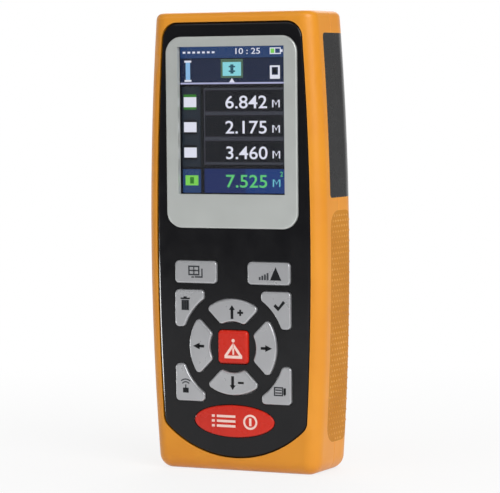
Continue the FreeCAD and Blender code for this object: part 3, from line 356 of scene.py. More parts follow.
def glass(name, colour, bend, lacquer=0.0):
    """Clear glass, with a gloss that varies a little."""
    finish = Finish(name)
    finish.coat(
        Base_Color=colour,
        Transmission_Weight=1.0,
        IOR=bend,
        Roughness=finish.spread(finish.noise(GLOSS_SIZE, DRIFT_DETAIL), 0.0, GLASS_ROUGH),
        Coat_Weight=lacquer,
    )
    shelf[name] = finish.material


def circuit(name, mask, copper):
    """Solder mask over copper tracks."""
    finish = Finish(name)
    cells = finish.node("ShaderNodeTexVoronoi", distance="CHEBYCHEV", feature="DISTANCE_TO_EDGE")
    cells.inputs["Scale"].default_value = 1 / CELL_EDGE
    finish.feed(cells.inputs["Vector"], finish.place)
    track = finish.spread(cells.outputs["Distance"], 1, 0, TRACK_INNER, TRACK_OUTER)
    finish.coat(
        Base_Color=finish.blend(track, mask, copper),
        Normal=finish.bump(track, TRACK_RISE),
        Roughness=0.28,
    )
    shelf[name] = finish.material


glass("clear_window", WHITE, bend=1.2)
glass("lens_glass", shade(236, 240, 255), bend=1.45, lacquer=0.4)
circuit("circuit_green", mask=shade(16, 78, 48), copper=shade(58, 132, 74))
print("finishes on the shelf:", len(shelf))

# %% [markdown]
# Each frame piece keeps its shape and only gets its finish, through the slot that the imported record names.
# The slots have the same names as the finishes, so one loop dresses the whole frame.
# The battery door is moulded from the same orange as the case.

# %% Dress the frame
shelf["door_black"] = shelf["orange_case"]
for part in frame["record"]["subparts"]:
    piece = nodes[part["node"]]
    piece.data.materials.clear()
    piece.data.materials.append(shelf[part["material_slot"]])

# %% [markdown]
# Everything that is added to the frame starts as a bmesh, Blender's own workbench for shapes.
# Two helpers serve all of them: one turns a bmesh into an object, and the other makes the surface
# of a frame piece ready for rays, so that a shape can be laid on it wherever it bends.


# %% Helpers for added pieces
def piece_of(name, mesh, *materials):
    """A finished object from a bmesh, with its materials."""
    data = bpy.data.meshes.new(name)
    mesh.to_mesh(data)
    mesh.free()
    for material in materials:
        data.materials.append(material)
    made = bpy.data.objects.new(name, data)
    scene.collection.objects.link(made)
    return made


def surface_of(node):
    """The surface of a frame piece, ready to be met by rays."""
    mesh = nodes[node].data
    return BVHTree.FromPolygons([v.co for v in mesh.vertices], [p.vertices[:] for p in mesh.polygons])


print("helpers are ready")

# %% [markdown]
# Printed symbols and the display's picture are flat shapes, laid just on top of a face.
# An image on the face would be easier, but it blurs close up and it isn't a mesh. So each shape is drawn
# in the plane from bars, polygons, rings and numerals, and gets its ink as it is drawn.

# %% Flat drawings
RING_STEPS = 24
DIGIT_HEIGHT = 0.73
BOLDNESS = 0.01
LETTER_STEPS = 4


class Drawing:
    """A flat drawing in the X-Z plane that collects shapes, each with its own ink."""

    def __init__(self, name, inks):
        self.name = name
        self.inks = inks
        self.mesh = bmesh.new()

    def colour(self, faces, ink):
        """Gives faces their ink and turns them to the viewer."""
        for face in faces:
            face.material_index = list(self.inks).index(ink)
            face.normal_update()
            if face.normal.y > 0:
                face.normal_flip()

    def polygon(self, corners, ink, level=0.0):
        points = [self.mesh.verts.new((x, -level, z)) for x, z in corners]
        self.colour([self.mesh.faces.new(points)], ink)

    def bar(self, x, z, wide, tall, ink, level=0.0):
        """A rectangle round its middle."""
        left, right = x - wide / 2, x + wide / 2
        foot, top = z - tall / 2, z + tall / 2
        self.polygon([(left, foot), (right, foot), (right, top), (left, top)], ink, level)

    def bars(self, named):
        """Several bars, each under the name of what it shows."""
        for place in named.values():
            self.bar(*place)

    def frame(self, x, z, wide, tall, line, ink):
        """Four bars round a rectangle."""
        for side in (-1, 1):
            self.bar(x, z + side * (tall - line) / 2, wide, line, ink)
            self.bar(x + side * (wide - line) / 2, z, line, tall - 2 * line, ink)

    def ring(self, x, z, radius, line, ink, start=0.0, turn=FULL_TURN):
        """A ring or an arc, spun from one short edge."""
        ends = [self.mesh.verts.new((x + radius + side * line / 2, 0, z)) for side in (-1, 1)]
        edge = self.mesh.edges.new(ends)
        bmesh.ops.rotate(self.mesh, cent=(x, 0, z), matrix=Matrix.Rotation(-start, 3, "Y"), verts=ends)
        before = set(self.mesh.faces)
        bmesh.ops.spin(
            self.mesh,
            geom=[edge],
            cent=(x, 0, z),
            axis=(0, -1, 0),
            angle=turn,
            steps=RING_STEPS,
            use_merge=turn >= FULL_TURN,
        )
        self.colour([face for face in self.mesh.faces if face not in before], ink)

    def words(self, text, x, z, tall, ink, level=0.0, align="RIGHT", wider=1.0):
        """Numerals set in the built-in face, as tall as asked, standing on z."""
        curve = bpy.data.curves.new("numerals", "FONT")
        curve.body = text
        curve.size = tall / DIGIT_HEIGHT
        curve.align_x = align
        curve.resolution_u = LETTER_STEPS
        curve.offset = BOLDNESS * tall
        holder = bpy.data.objects.new("numerals", curve)
        scene.collection.objects.link(holder)
        bpy.context.view_layer.update()
        flat = bpy.data.meshes.new_from_object(holder.evaluated_get(bpy.context.evaluated_depsgraph_get()))
        bpy.data.objects.remove(holder)
        stretched = Matrix.Diagonal((wider, 1, 1, 1))
        upright = Matrix.Rotation(math.pi / 2, 4, "X")
        flat.transform(Matrix.Translation((x, -level, z)) @ upright @ stretched)
        before = set(self.mesh.faces)
        self.mesh.from_mesh(flat)
        self.colour([face for face in self.mesh.faces if face not in before], ink)


print("drawing tools are ready")

# %% [markdown]
# A finished drawing becomes a piece. The display's picture only moves to its place. A key's symbol is also
# dropped onto the key, point by point along a ray, so that it follows any dome, and then gets a thickness,
# because a real print has a body and a sheet without one would be no solid.


# %% Laying a drawing
def drop(mesh, node):
    """Moves each point of a drawing along Y until it lies on the front of a node."""
    surface = surface_of(node)
    low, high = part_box(node)
    for vert in mesh.verts:
        hit = surface.ray_cast(Vector((vert.co.x, low.y - PROBE, vert.co.z)), Vector((0, 1, 0)))
        if hit[0] is not None:
            vert.co.y = hit[0].y - LIFT


def thicken(mesh, thickness):
    """Raises a copy of the flat faces towards the viewer and closes the sides."""
    raised = bmesh.ops.extrude_face_region(mesh, geom=mesh.faces[:])
    tops = [item for item in raised["geom"] if isinstance(item, bmesh.types.BMVert)]
    bmesh.ops.translate(mesh, vec=(0, -thickness, 0), verts=tops)
    bmesh.ops.recalc_face_normals(mesh, faces=mesh.faces)


def lay(drawing, body, place, on=None, thick=0.0):
    """Turns a drawing into a piece that rides on a body."""
    bmesh.ops.translate(drawing.mesh, vec=place, verts=drawing.mesh.verts)
    if on is not None:
        bmesh.ops.subdivide_edges(drawing.mesh, edges=drawing.mesh.edges, cuts=1, use_grid_fill=True)
        drop(drawing.mesh, on)
    if thick:
        thicken(drawing.mesh, thick)
    piece = piece_of(drawing.name, drawing.mesh, *drawing.inks.values())
    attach(piece, body)
    return piece


print("laying tools are ready")

# %% [markdown]
# The display is lit from behind, so its colours give light instead of reflecting it.
# A plain emission would do from afar. A faint grid of picture cells, made by a brick pattern
# with square bricks, keeps the glow from looking like paper.

# %% Lit inks
PICTURE_CELL = 0.16 * MM
CELL_GAP = PICTURE_CELL / 12
CELL_TONE = (0.98, 0.98, 0.98, 1)
GAP_TONE = (0.9, 0.9, 0.9, 1)


def lit(name, colour):
    """A backlit colour with the faint grid of a colour display."""
    finish = Finish("lit_" + name)
    grid = finish.node("ShaderNodeTexBrick", offset=0.0)
    upright = finish.node("ShaderNodeMapping")
    upright.inputs["Rotation"].default_value = (math.pi / 2, 0, 0)
    finish.feed(upright.inputs["Vector"], finish.place)
    amounts = {
        "Vector": upright.outputs["Vector"],
        "Color1": WHITE,
        "Color2": CELL_TONE,
        "Mortar": GAP_TONE,
        "Scale": 1.0,
        "Brick Width": PICTURE_CELL,
        "Row Height": PICTURE_CELL,
        "Mortar Size": CELL_GAP,
    }
    for socket, amount in amounts.items():
        finish.feed(grid.inputs[socket], amount)
    finish.coat(
        Base_Color=BLACK,
        Emission_Color=finish.blend(1.0, colour, grid.outputs["Color"], "MULTIPLY"),
        Emission_Strength=1.0,
        Roughness=0.3,
        Specular_IOR_Level=0.1,
    )
    return finish.material


lit_colours = {
    "black": shade(14, 15, 20),
    "status": shade(38, 62, 106),
    "header": shade(28, 37, 62),
    "slate": shade(32, 40, 50),
    "band": shade(56, 58, 68),
    "box": shade(17, 19, 26),
    "blue": shade(28, 42, 92),
    "blue_light": shade(28, 56, 116),
    "white": shade(222, 224, 238),
    "pale": shade(176, 178, 214),
    "sky": shade(136, 184, 226),
    "teal": shade(134, 210, 220),
    "teal_dark": shade(40, 84, 100),
    "frame_green": shade(78, 104, 84),
    "green": shade(122, 206, 84),
    "green_dark": shade(48, 120, 40),
    "leaf": shade(96, 200, 116),
    "mint": shade(108, 190, 206),
}
screen_inks = {name: lit(name, colour) for name, colour in lit_colours.items()}
print("lit inks:", len(screen_inks))

# %% [markdown]
# The picture fills the visible glass. Every place on it is a share of its width and height, so it still fits
# if the window changes. It lies deeper than the rim of the window, and seen from the camera's side
# it has to be a little narrower than the glass and moved to the left. Thin layers keep its tiles apart.

# %% The display's picture
WINDOW_LAP = 1.0 * MM
PICTURE_SHIFT = 0.2 * MM
PICTURE_TRIM = 0.6 * MM
LAYER = 0.012 * MM
BASE_LAYER = 0
FIELD_LAYER = LAYER
LINE_LAYER = 2 * LAYER
MARK_LAYER = 3 * LAYER
TOP_LAYER = 4 * LAYER
window_low, window_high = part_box("display_window")
view_top = window_high.z - WINDOW_LAP
view_tall = view_top - window_low.z - WINDOW_LAP
picture_left = window_low.x + WINDOW_LAP - PICTURE_SHIFT
picture_wide = window_high.x - window_low.x - 2 * WINDOW_LAP - PICTURE_TRIM
picture = Drawing("display_picture", screen_inks)


def across(share):
    return picture_left + share * picture_wide


def down(share):
    return view_top - share * view_tall


def tile(left, top, right, bottom, ink, level):
    """A rectangle given by shares of the picture."""
    middle = (across((left + right) / 2), down((top + bottom) / 2))
    picture.bar(*middle, (right - left) * picture_wide, (bottom - top) * view_tall, ink, level)


def tiles(named):
    """Several tiles, each under the name of what it shows."""
    for place in named.values():
        tile(*place)


print("picture in mm:", round(picture_wide / MM, 2), "by", round(view_tall / MM, 2))

# %% [markdown]
# At the top a status bar shows seven dashes for the signal, the time, and a battery that is half full.
# Below it a header shows the mode: a length, the chosen measure in a lit frame with a pointer, and a page.

# %% Status bar and header
DASHES = 7
DASH_START = 0.025
DASH_STEP = 0.047
DASH_WIDE = 0.026
TIME_MIDDLE = across(0.645)
TIME_TALL = 0.041 * view_tall
tiles(
    {
        "dark ground": (-0.02, -0.01, 1.04, 1.01, "black", BASE_LAYER),
        "status bar": (0, 0, 1, 0.078, "status", FIELD_LAYER),
        "header": (0, 0.084, 1, 0.243, "header", FIELD_LAYER),
        "header line": (0, 0.243, 1, 0.254, "pale", LINE_LAYER),
        "battery case": (0.86, 0.012, 0.965, 0.056, "white", LINE_LAYER),
        "battery inside": (0.912, 0.019, 0.956, 0.049, "status", MARK_LAYER),
        "battery charge": (0.868, 0.019, 0.904, 0.049, "green", MARK_LAYER),
        "battery knob": (0.965, 0.025, 0.982, 0.043, "white", MARK_LAYER),
        "length post": (0.052, 0.095, 0.095, 0.235, "sky", LINE_LAYER),
        "length top": (0.04, 0.093, 0.107, 0.106, "white", MARK_LAYER),
        "length foot": (0.04, 0.224, 0.107, 0.237, "white", MARK_LAYER),
        "measure frame": (0.392, 0.086, 0.604, 0.213, "frame_green", LINE_LAYER),
        "measure field": (0.41, 0.106, 0.586, 0.199, "teal", MARK_LAYER),
        "measure post": (0.484, 0.122, 0.514, 0.184, "teal_dark", TOP_LAYER),
        "measure upper bar": (0.468, 0.132, 0.53, 0.142, "teal_dark", TOP_LAYER),
        "measure lower bar": (0.468, 0.163, 0.53, 0.173, "teal_dark", TOP_LAYER),
        "page": (0.86, 0.132, 0.955, 0.222, "white", LINE_LAYER),
        "page inside": (0.878, 0.143, 0.937, 0.195, "header", MARK_LAYER),
        "page mark": (0.892, 0.152, 0.923, 0.183, "black", TOP_LAYER),
    }
)
pointer = [(0.47, 0.244), (0.526, 0.244), (0.498, 0.214)]
picture.polygon([(across(x), down(z)) for x, z in pointer], "white", MARK_LAYER)
for number in range(DASHES):
    dash_left = DASH_START + DASH_STEP * number
    tile(dash_left, 0.032, dash_left + DASH_WIDE, 0.045, "white", MARK_LAYER)
picture.words("10 : 25", TIME_MIDDLE, down(0.052), TIME_TALL, "white", MARK_LAYER, "CENTER", wider=1.3)
print("faces so far:", len(picture.mesh.faces))

# %% [markdown]
# Three rows show measured lengths, each with a small square on the left, and the last row shows the area
# in colour. The values are made up. Numerals come from Blender's own face, made wider as on the display.
# The unit's letter is drawn from two posts and a V, because the set letter closes up when it is this small.

# %% Measured values
ROW_TOPS = (0.295, 0.465, 0.638)
ROW_TALL = 0.145
ROW_VALUES = ("6.842", "2.175", "3.460")
ROW_MIDDLE = ROW_TALL / 2 + 0.008
DIGITS_TALL = 0.089 * view_tall
DIGITS_RIGHT = across(0.836)
DIGITS_WIDER = 1.19
UNIT_TALL = 0.05 * view_tall
UNIT_MIDDLE = across(0.915)
UNIT_HALF = 0.036 * picture_wide
UNIT_LINE = 0.42 * MM
UNIT_DIP = 0.25 * UNIT_TALL
UNIT_RAISED = 0.005


def unit_sign(baseline, ink):
    """A capital letter for metres, drawn from two posts and a V."""
    for side in (-1, 1):
        post = UNIT_MIDDLE + side * (UNIT_HALF - UNIT_LINE / 2)
        picture.bar(post, baseline + UNIT_TALL / 2, UNIT_LINE, UNIT_TALL, ink, MARK_LAYER)
        arm = [
            (UNIT_MIDDLE + side * UNIT_HALF, baseline + UNIT_TALL),
            (UNIT_MIDDLE + side * (UNIT_HALF - 1.2 * UNIT_LINE), baseline + UNIT_TALL),
            (UNIT_MIDDLE, baseline + UNIT_DIP),
            (UNIT_MIDDLE, baseline + UNIT_DIP + 1.3 * UNIT_LINE),
        ]
        picture.polygon(arm, ink, TOP_LAYER)


def value(text, baseline, ink, unit_ink):
    """A value with its unit sign; the sign stands a little higher than the numerals."""
    picture.words(text, DIGITS_RIGHT, down(baseline), DIGITS_TALL, ink, MARK_LAYER, wider=DIGITS_WIDER)
    unit_sign(down(baseline - UNIT_RAISED), unit_ink)


tile(0.015, 0.272, 0.19, 0.815, "slate", FIELD_LAYER)
tile(0.225, 0.28, 0.995, 0.8, "band", FIELD_LAYER)
for top, number in zip(ROW_TOPS, ROW_VALUES):
    middle = top + ROW_MIDDLE
    tile(0.235, top, 0.985, top + ROW_TALL, "box", LINE_LAYER)
    tile(0.03, middle - 0.052, 0.155, middle - 0.036, "black", MARK_LAYER)
    tile(0.03, middle + 0.036, 0.155, middle + 0.05, "black", MARK_LAYER)
    tile(0.03, middle - 0.034, 0.152, middle + 0.034, "white", MARK_LAYER)
    value(number, top + 0.123, "white", "white")
chosen = ROW_TOPS[0] + ROW_MIDDLE
tile(0.03, chosen - 0.052, 0.152, chosen - 0.034, "green_dark", TOP_LAYER)
tile(0.03, chosen + 0.034, 0.152, chosen + 0.05, "green_dark", TOP_LAYER)
print("faces so far:", len(picture.mesh.faces))

# %% Area row
SQUARED_RIGHT = across(0.978)
SQUARED_TALL = 0.034 * view_tall
tiles(
    {
        "left field": (0.015, 0.832, 0.19, 0.992, "status", FIELD_LAYER),
        "right field": (0.225, 0.828, 0.995, 0.992, "blue", FIELD_LAYER),
        "lighter end": (0.62, 0.828, 0.995, 0.992, "blue_light", LINE_LAYER),
        "area square": (0.04, 0.874, 0.165, 0.942, "green", MARK_LAYER),
        "square inside": (0.084, 0.886, 0.122, 0.93, "green_dark", TOP_LAYER),
    }
)
value("7.525", 0.953, "leaf", "mint")
picture.words("2", SQUARED_RIGHT, down(0.878), SQUARED_TALL, "leaf", MARK_LAYER)
glass_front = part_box("display_glass")[0].y
display_picture = lay(picture, HOUSING, place=(0, glass_front - LIFT, 0))
print("display picture faces:", len(display_picture.data.polygons))

# %% [markdown]
# Printing ink is nearly flat, with the fine speckle of a pad print, so its finish needs only one noise.
# The silver keys carry dark and grey ink, the red ones a pale ink.

# %% Printing inks
SPECKLE_SIZE = 0.15 * MM
SPECKLE_LIGHT = 1.12
INK_ROUGH = 0.5
INK_SHINE = 0.2


def ink_finish(name, colour):
    """Printing ink with a fine speckle."""
    finish = Finish(name)
    lighter = (*(min(1, part * SPECKLE_LIGHT) for part in colour[:3]), 1.0)
    speckle = finish.spread(finish.noise(SPECKLE_SIZE, DRIFT_DETAIL), 0, 1)
    paint = finish.blend(speckle, colour, lighter)
    finish.coat(Base_Color=paint, Roughness=INK_ROUGH, Specular_IOR_Level=INK_SHINE)
    return finish.material


dark_inks = {"ink": ink_finish("key_ink", INK), "grey": ink_finish("grey_ink", INK_GREY)}
pale_inks = {"ink": ink_finish("pale_ink", INK_PALE)}
print("printing inks:", len(dark_inks) + len(pale_inks))

# %% [markdown]
# Every key carries a printed symbol of the common kind. Each is drawn in millimetres round its own middle,
# because that is how a print is measured, and then brought to Blender's metres and moved onto its key.

# %% Placing a symbol
SYMBOL_THICK = 0.012 * MM


def symbol_for(node, inks=dark_inks):
    return Drawing(node + "_symbol", inks)


def place_symbol(drawing, node, shift=(0, 0)):
    """Lays a symbol on its key, shifted from the key's middle by so many millimetres."""
    bmesh.ops.scale(drawing.mesh, vec=(MM, 1, MM), verts=drawing.mesh.verts)
    low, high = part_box(node)
    centre = (low + high) / 2
    place = (centre.x + shift[0] * MM, 0, centre.z + shift[1] * MM)
    lay(drawing, nodes[node]["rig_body"], place, on=node, thick=SYMBOL_THICK)


print("symbols are", round(SYMBOL_THICK / MM, 3), "mm thick")

# %% [markdown]
# The four curved keys form a ring for moving through the menus. The side keys carry an arrow that points
# outwards. The upper one also has a plus and the lower one a minus, because they change a value as well.
# A loop over the side or the direction draws both keys of a pair from the same few sizes.

# %% Ring keys
REACH = 2.6
HEAD_HALF = 1.0
for node, side in (("key_ring_left", -1), ("key_ring_right", 1)):
    symbol = symbol_for(node)
    neck, tip = side * 0.2 * REACH, side * 1.05 * REACH
    symbol.bar(-side * 0.3 * REACH, 0, 1.4 * REACH, 0.8, "ink")
    symbol.polygon([(neck, HEAD_HALF), (tip, 0), (neck, -HEAD_HALF)], "ink")
    place_symbol(symbol, node, shift=(-side * 0.1, 0))

HEAD_FOOT = 0.8
HEAD_TALL = 1.4
HEAD_SIDE = 0.95
SIGN_PLACE = 2.7
SIGN_LINE = 0.65
for node, way in (("key_ring_up", 1), ("key_ring_down", -1)):
    symbol = symbol_for(node)
    foot, tip = way * HEAD_FOOT, way * (HEAD_FOOT + HEAD_TALL)
    symbol.bar(0, -way * 0.45, 0.9, 2.9, "ink")
    symbol.polygon([(-HEAD_SIDE, foot), (HEAD_SIDE, foot), (0, tip)], "ink")
    symbol.bar(SIGN_PLACE, 0, 1.9, SIGN_LINE, "ink")
    if way > 0:
        symbol.bar(SIGN_PLACE, 0.63, SIGN_LINE, 0.62, "ink")
        symbol.bar(SIGN_PLACE, -0.63, SIGN_LINE, 0.62, "ink")
    place_symbol(symbol, node, shift=(0, -0.1))
print("ring keys are printed")

# %% [markdown]
# The two oblong keys at the top: on the left a grid with a second sheet behind it, for stored values,
# and on the right four rising bars beside a tall triangle, for the kind of measurement.

# %% Top keys
symbol = symbol_for("key_top_left")
symbol.frame(-0.5, 0.45, 3.7, 2.9, 0.45, "grey")
symbol.bars(
    {
        "grid bar": (-0.5, 0.45, 2.9, 0.38, "grey"),
        "grid post": (-0.5, 0.45, 0.38, 2.1, "grey", LIFT),
        "second sheet's foot": (1.1, -1.45, 2.6, 0.45, "grey"),
        "second sheet's side": (2.2, -0.1, 0.45, 2.3, "grey"),
        "foot's start": (-0.9, -1.5, 0.9, 0.4, "grey"),
    }
)
place_symbol(symbol, "key_top_left")

RISING_BARS = 4
symbol = symbol_for("key_top_right")
symbol.polygon([(0.2, -1.95), (3.9, -1.95), (2.05, 2.0)], "ink")
for number in range(RISING_BARS):
    symbol.bar(-3.1 + 0.85 * number, -1.45 + 0.2 * number, 0.6, 0.9 + 0.4 * number, "grey")
place_symbol(symbol, "key_top_right", shift=(0.3, 0))
print("top keys are printed")

# %% [markdown]
# The four corner keys: a bin for clearing a value, a tick for accepting one, a body that sends out waves
# for the reference point, and a lined page with an arrow for the memory. Each lies in the wide part
# of its scooped key, so each has a shift of its own.

# %% Upper corner keys
SLOTS = 3
symbol = symbol_for("key_upper_left")
symbol.bars(
    {
        "lid": (0, 1.7, 3.1, 0.45, "ink"),
        "handle": (0, 2.1, 1.1, 0.36, "ink"),
        "bin": (0, -0.25, 2.5, 3.1, "grey"),
    }
)
for number in range(SLOTS):
    symbol.bar((number - 1) * 0.75, -0.25, 0.28, 2.6, "ink", LIFT)
place_symbol(symbol, "key_upper_left", shift=(-1.3, 1.2))

symbol = symbol_for("key_upper_right")
tick_foot = (-0.3, -1.4)
tick_bend = (-0.2, -0.2)
symbol.polygon([(-1.8, 0), (-1.2, 0.7), tick_bend, tick_foot], "ink")
symbol.polygon([tick_foot, tick_bend, (1.3, 1.7), (2.0, 1.1)], "ink")
place_symbol(symbol, "key_upper_right", shift=(1.2, 1.3))
print("upper corner keys are printed")

# %% Lower corner keys
PAGE_LINES = 2
WAVES = {"near": (1.5, 40, 100), "far": (2.3, 48, 84)}
symbol = symbol_for("key_lower_left")
symbol.bar(0, -1.4, 1.9, 1.5, "ink")
symbol.bar(0, -0.2, 0.4, 1.0, "grey")
for radius, start, turn in WAVES.values():
    symbol.ring(0, -0.4, radius, 0.36, "grey", math.radians(start), math.radians(turn))
place_symbol(symbol, "key_lower_left", shift=(-1.4, -1.0))

symbol = symbol_for("key_lower_right")
symbol.frame(-0.4, 0, 3.0, 2.7, 0.42, "grey")
for number in range(PAGE_LINES):
    symbol.bar(-0.4, (number - 0.5) * 0.85, 2.0, 0.4, "grey")
symbol.bar(1.6, 0.2, 0.8, 1.7, "ink")
symbol.polygon([(1.1, -0.6), (2.1, -0.6), (1.6, -1.3)], "ink")
place_symbol(symbol, "key_lower_right", shift=(1.2, -1.6))
print("lower corner keys are printed")

# %% [markdown]
# The measuring key shows a point and the beam that fans out of it, and the oval key shows a list
# next to the ring-and-bar sign that means on and off on any appliance.

# %% Measuring key
BEAM_HALF = 2.9
BEAM_TOP = 1.35
BEAM_FOOT = -2.6
BASE_LINE = 0.85
symbol = symbol_for("key_measure", pale_inks)
symbol.ring(0, 2.25, 0.3, 0.45, "ink")
symbol.bar(0, BEAM_FOOT, 2 * BEAM_HALF, BASE_LINE, "ink")
symbol.bar(0, -0.95, 0.55, 1.9, "ink")
for side in (-1, 1):
    edge = [
        (side * BEAM_HALF, BEAM_FOOT + BASE_LINE / 2),
        (side * (BEAM_HALF - 1.0), BEAM_FOOT + BASE_LINE / 2),
        (side * 0.1, BEAM_TOP - 1.1),
        (side * 0.1, BEAM_TOP + 0.2),
    ]
    symbol.polygon(edge, "ink")
place_symbol(symbol, "key_measure", shift=(0.3, -0.3))
print("measuring key is printed")

# %% Oval key
POWER_SIDE = 5.6
LIST_ROWS = 3
ROW_STEP = 1.45
ROW_LINE = 0.72
symbol = symbol_for("key_power", pale_inks)
symbol.ring(POWER_SIDE, 0, 1.95, 0.62, "ink")
symbol.bar(POWER_SIDE, 0, 0.75, 2.3, "ink")
for number in range(LIST_ROWS):
    row_place = (1 - number) * ROW_STEP
    symbol.bar(-2.3, row_place, 6.2, ROW_LINE, "ink")
    symbol.bar(-6.6, row_place, 1.0, ROW_LINE, "ink")
place_symbol(symbol, "key_power")
print("oval key is printed")

# %% [markdown]
# The lower flank pads are stippled: rows of low round dots, every second row shifted by half a step. The dots
# are a lighter orange than the pad, a painted highlight on their tops.
# A bump alone would leave the pad's edge straight against the light, so each dot is a small sphere squashed
# onto the pad. A ray from outside finds the pad's surface, and a place counts only where four rays around it
# also meet the pad. Each row is built by itself and then joined, which is far quicker than one growing mesh.

# %% Stippled pads
DOT_SIZE = Matrix.Diagonal((0.4 * MM, 0.4 * MM, 0.16 * MM, 1))
DOT_STEP = 1.75 * MM
DOT_ROW_STEP = 0.9 * DOT_STEP
DOT_ROOM = 0.85 * MM
AROUND = ((0, 0), (DOT_ROOM, 0), (-DOT_ROOM, 0), (0, DOT_ROOM), (0, -DOT_ROOM))


def dot_row(surface, outside, side, places):
    """A row of dots, one for each place in Y and Z that has room on the pad."""
    row = bmesh.new()
    for y, z in places:
        met = []
        for step_y, step_z in AROUND:
            start = Vector((outside, y + step_y, z + step_z))
            met.append(surface.ray_cast(start, Vector((-side, 0, 0)), 2 * PROBE))
        if any(hit[0] is None for hit in met):
            continue
        middle, normal = met[0][:2]
        turned = normal.to_track_quat("Z", "Y").to_matrix().to_4x4()
        seat = Matrix.Translation(middle) @ turned @ DOT_SIZE
        bmesh.ops.create_uvsphere(row, u_segments=8, v_segments=4, radius=1, matrix=seat)
    return row


def stipple(node, side):
    """Rows of dots over a flank pad; side is 1 on the right and -1 on the left."""
    surface = surface_of(node)
    low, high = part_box(node)
    outside = high.x + PROBE if side > 0 else low.x - PROBE
    columns = int((high.y - low.y) / DOT_STEP) + 1
    dots = bmesh.new()
    row_mesh = bpy.data.meshes.new("dot_row")
    for row in range(int((high.z - low.z) / DOT_ROW_STEP)):
        z = low.z + DOT_STEP / 2 + row * DOT_ROW_STEP
        offset = 0.5 + (row % 2) / 2
        places = [(low.y + DOT_STEP * (column + offset), z) for column in range(columns)]
        row_dots = dot_row(surface, outside, side, places)
        row_dots.to_mesh(row_mesh)
        row_dots.free()
        dots.from_mesh(row_mesh)
    bpy.data.meshes.remove(row_mesh)
    for face in dots.faces:
        face.smooth = True
    piece = piece_of(node + "_dots", dots, shelf["pad_dot"])
    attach(piece, HOUSING)
    return piece


for node, side in (("left_grip_pad", -1), ("right_grip_pad", 1)):
    print(node, "dot faces:", len(stipple(node, side).data.polygons))

# %% [markdown]
# The tripod socket is a brass insert with a standard coarse camera thread. A picture of a thread would look
# flat from the side. One tooth is a small triangle, and spinning it while it climbs makes the whole helix
# in one step. The tooth's foot is sunk a little into the brass, so that no gap shows between them.

# %% Tripod thread
SOCKET_BORE = 3.18 * MM
THREAD_PITCH = 1.27 * MM
THREAD_DEPTH = 0.5 * MM
THREAD_START = 0.4 * MM
THREAD_TURNS = 4
STEPS_PER_TURN = 32
ROOT_SUNK = 0.05 * MM
MERGE_REACH = 0.001 * MM
TOOTH = ((-ROOT_SUNK, 0), (THREAD_DEPTH, 0.4 * THREAD_PITCH), (-ROOT_SUNK, 0.8 * THREAD_PITCH))
socket_low, socket_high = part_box("tripod_insert")
socket_level = (socket_low.z + socket_high.z) / 2
thread = bmesh.new()
tooth = [
    thread.verts.new((SOCKET_BORE - depth, socket_high.y - THREAD_START - along, socket_level))
    for depth, along in TOOTH
]
bmesh.ops.spin(
    thread,
    geom=[thread.faces.new(tooth)],
    cent=(0, 0, socket_level),
    axis=(0, 1, 0),
    dvec=(0, -THREAD_PITCH / STEPS_PER_TURN, 0),
    angle=THREAD_TURNS * FULL_TURN,
    steps=THREAD_TURNS * STEPS_PER_TURN,
)
bmesh.ops.remove_doubles(thread, verts=thread.verts, dist=MERGE_REACH)
bmesh.ops.recalc_face_normals(thread, faces=thread.faces)
tripod_thread = piece_of("tripod_thread", thread, shelf["brass_insert"])
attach(tripod_thread, HOUSING)
print("thread faces:", len(tripod_thread.data.polygons))

# %% [markdown]
# Each case screw has a cross for its driver. Cutting it would change a frame piece, which stays as it is,
# so two thin dark bars are laid a hair above the flat head, at the bottom of the counterbore: painted shade
# standing for the sunk cross.

# %% Screw drives
SCREW_PLACES = ((-12.0, 5.6), (12.0, 5.6), (-20.4, 130.3), (20.4, 130.3))
DRIVE_LONG = 2.4 * MM
DRIVE_WIDE = 0.55 * MM
DRIVE_THICK = 0.06 * MM
screw_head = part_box("case_screws")[1].y
drive_shade_bars = bmesh.new()
for x, z in SCREW_PLACES:
    for wide, tall in ((DRIVE_LONG, DRIVE_WIDE), (DRIVE_WIDE, DRIVE_LONG)):
        centre = Matrix.Translation((x * MM, screw_head + LIFT, z * MM))
        size = Matrix.Diagonal((wide, DRIVE_THICK, tall, 1))
        bmesh.ops.create_cube(drive_shade_bars, size=1.0, matrix=centre @ size)
# The dark bars are painted shade for the cross recess.
screw_drive_shades = piece_of("screw_drive_shades", drive_shade_bars, shelf["screw_drive"])
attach(screw_drive_shades, HOUSING)
print("screw drives:", len(SCREW_PLACES))

# %% [markdown]
# The meter stands on white paper that has no end: near it the paper carries a faint shadow, and further out
# it fades into pure white. A plain sheet would show its edge and its grey. So the sheet is mixed with
# a white glow, more of it further from the middle, and only for rays that come from the camera,
# through glass or off something glossy. For all other rays it is paper, and lights the meter as paper does.

# %% Floor
FLOOR_SIZE = 0.6
FADE_START = 0.05
FADE_END = 0.3
GLOW_NEAR = 0.8
PAPER_WHITE = (0.88, 0.88, 0.88, 1)
ground = bmesh.new()
bmesh.ops.create_grid(ground, x_segments=1, y_segments=1, size=FLOOR_SIZE)
paper = Finish("floor")
floor = piece_of("floor", ground, paper.material)
paper.coat(Base_Color=PAPER_WHITE, Roughness=0.8, Specular_IOR_Level=0.1)
glow = paper.node("ShaderNodeEmission")
paper.feed(glow.inputs["Color"], WHITE)
distance = paper.node("ShaderNodeVectorMath", operation="LENGTH")
paper.feed(distance.inputs[0], paper.place)
faded = paper.spread(distance.outputs["Value"], GLOW_NEAR, 1.0, FADE_START, FADE_END)
rays = paper.node("ShaderNodeLightPath").outputs
seen = paper.combine("MAXIMUM", rays["Is Camera Ray"], rays["Is Transmission Ray"])
shown = paper.combine("MAXIMUM", seen, rays["Is Glossy Ray"])
mixed = paper.node("ShaderNodeMixShader")
paper.feed(mixed.inputs["Fac"], paper.combine("MULTIPLY", shown, faded))
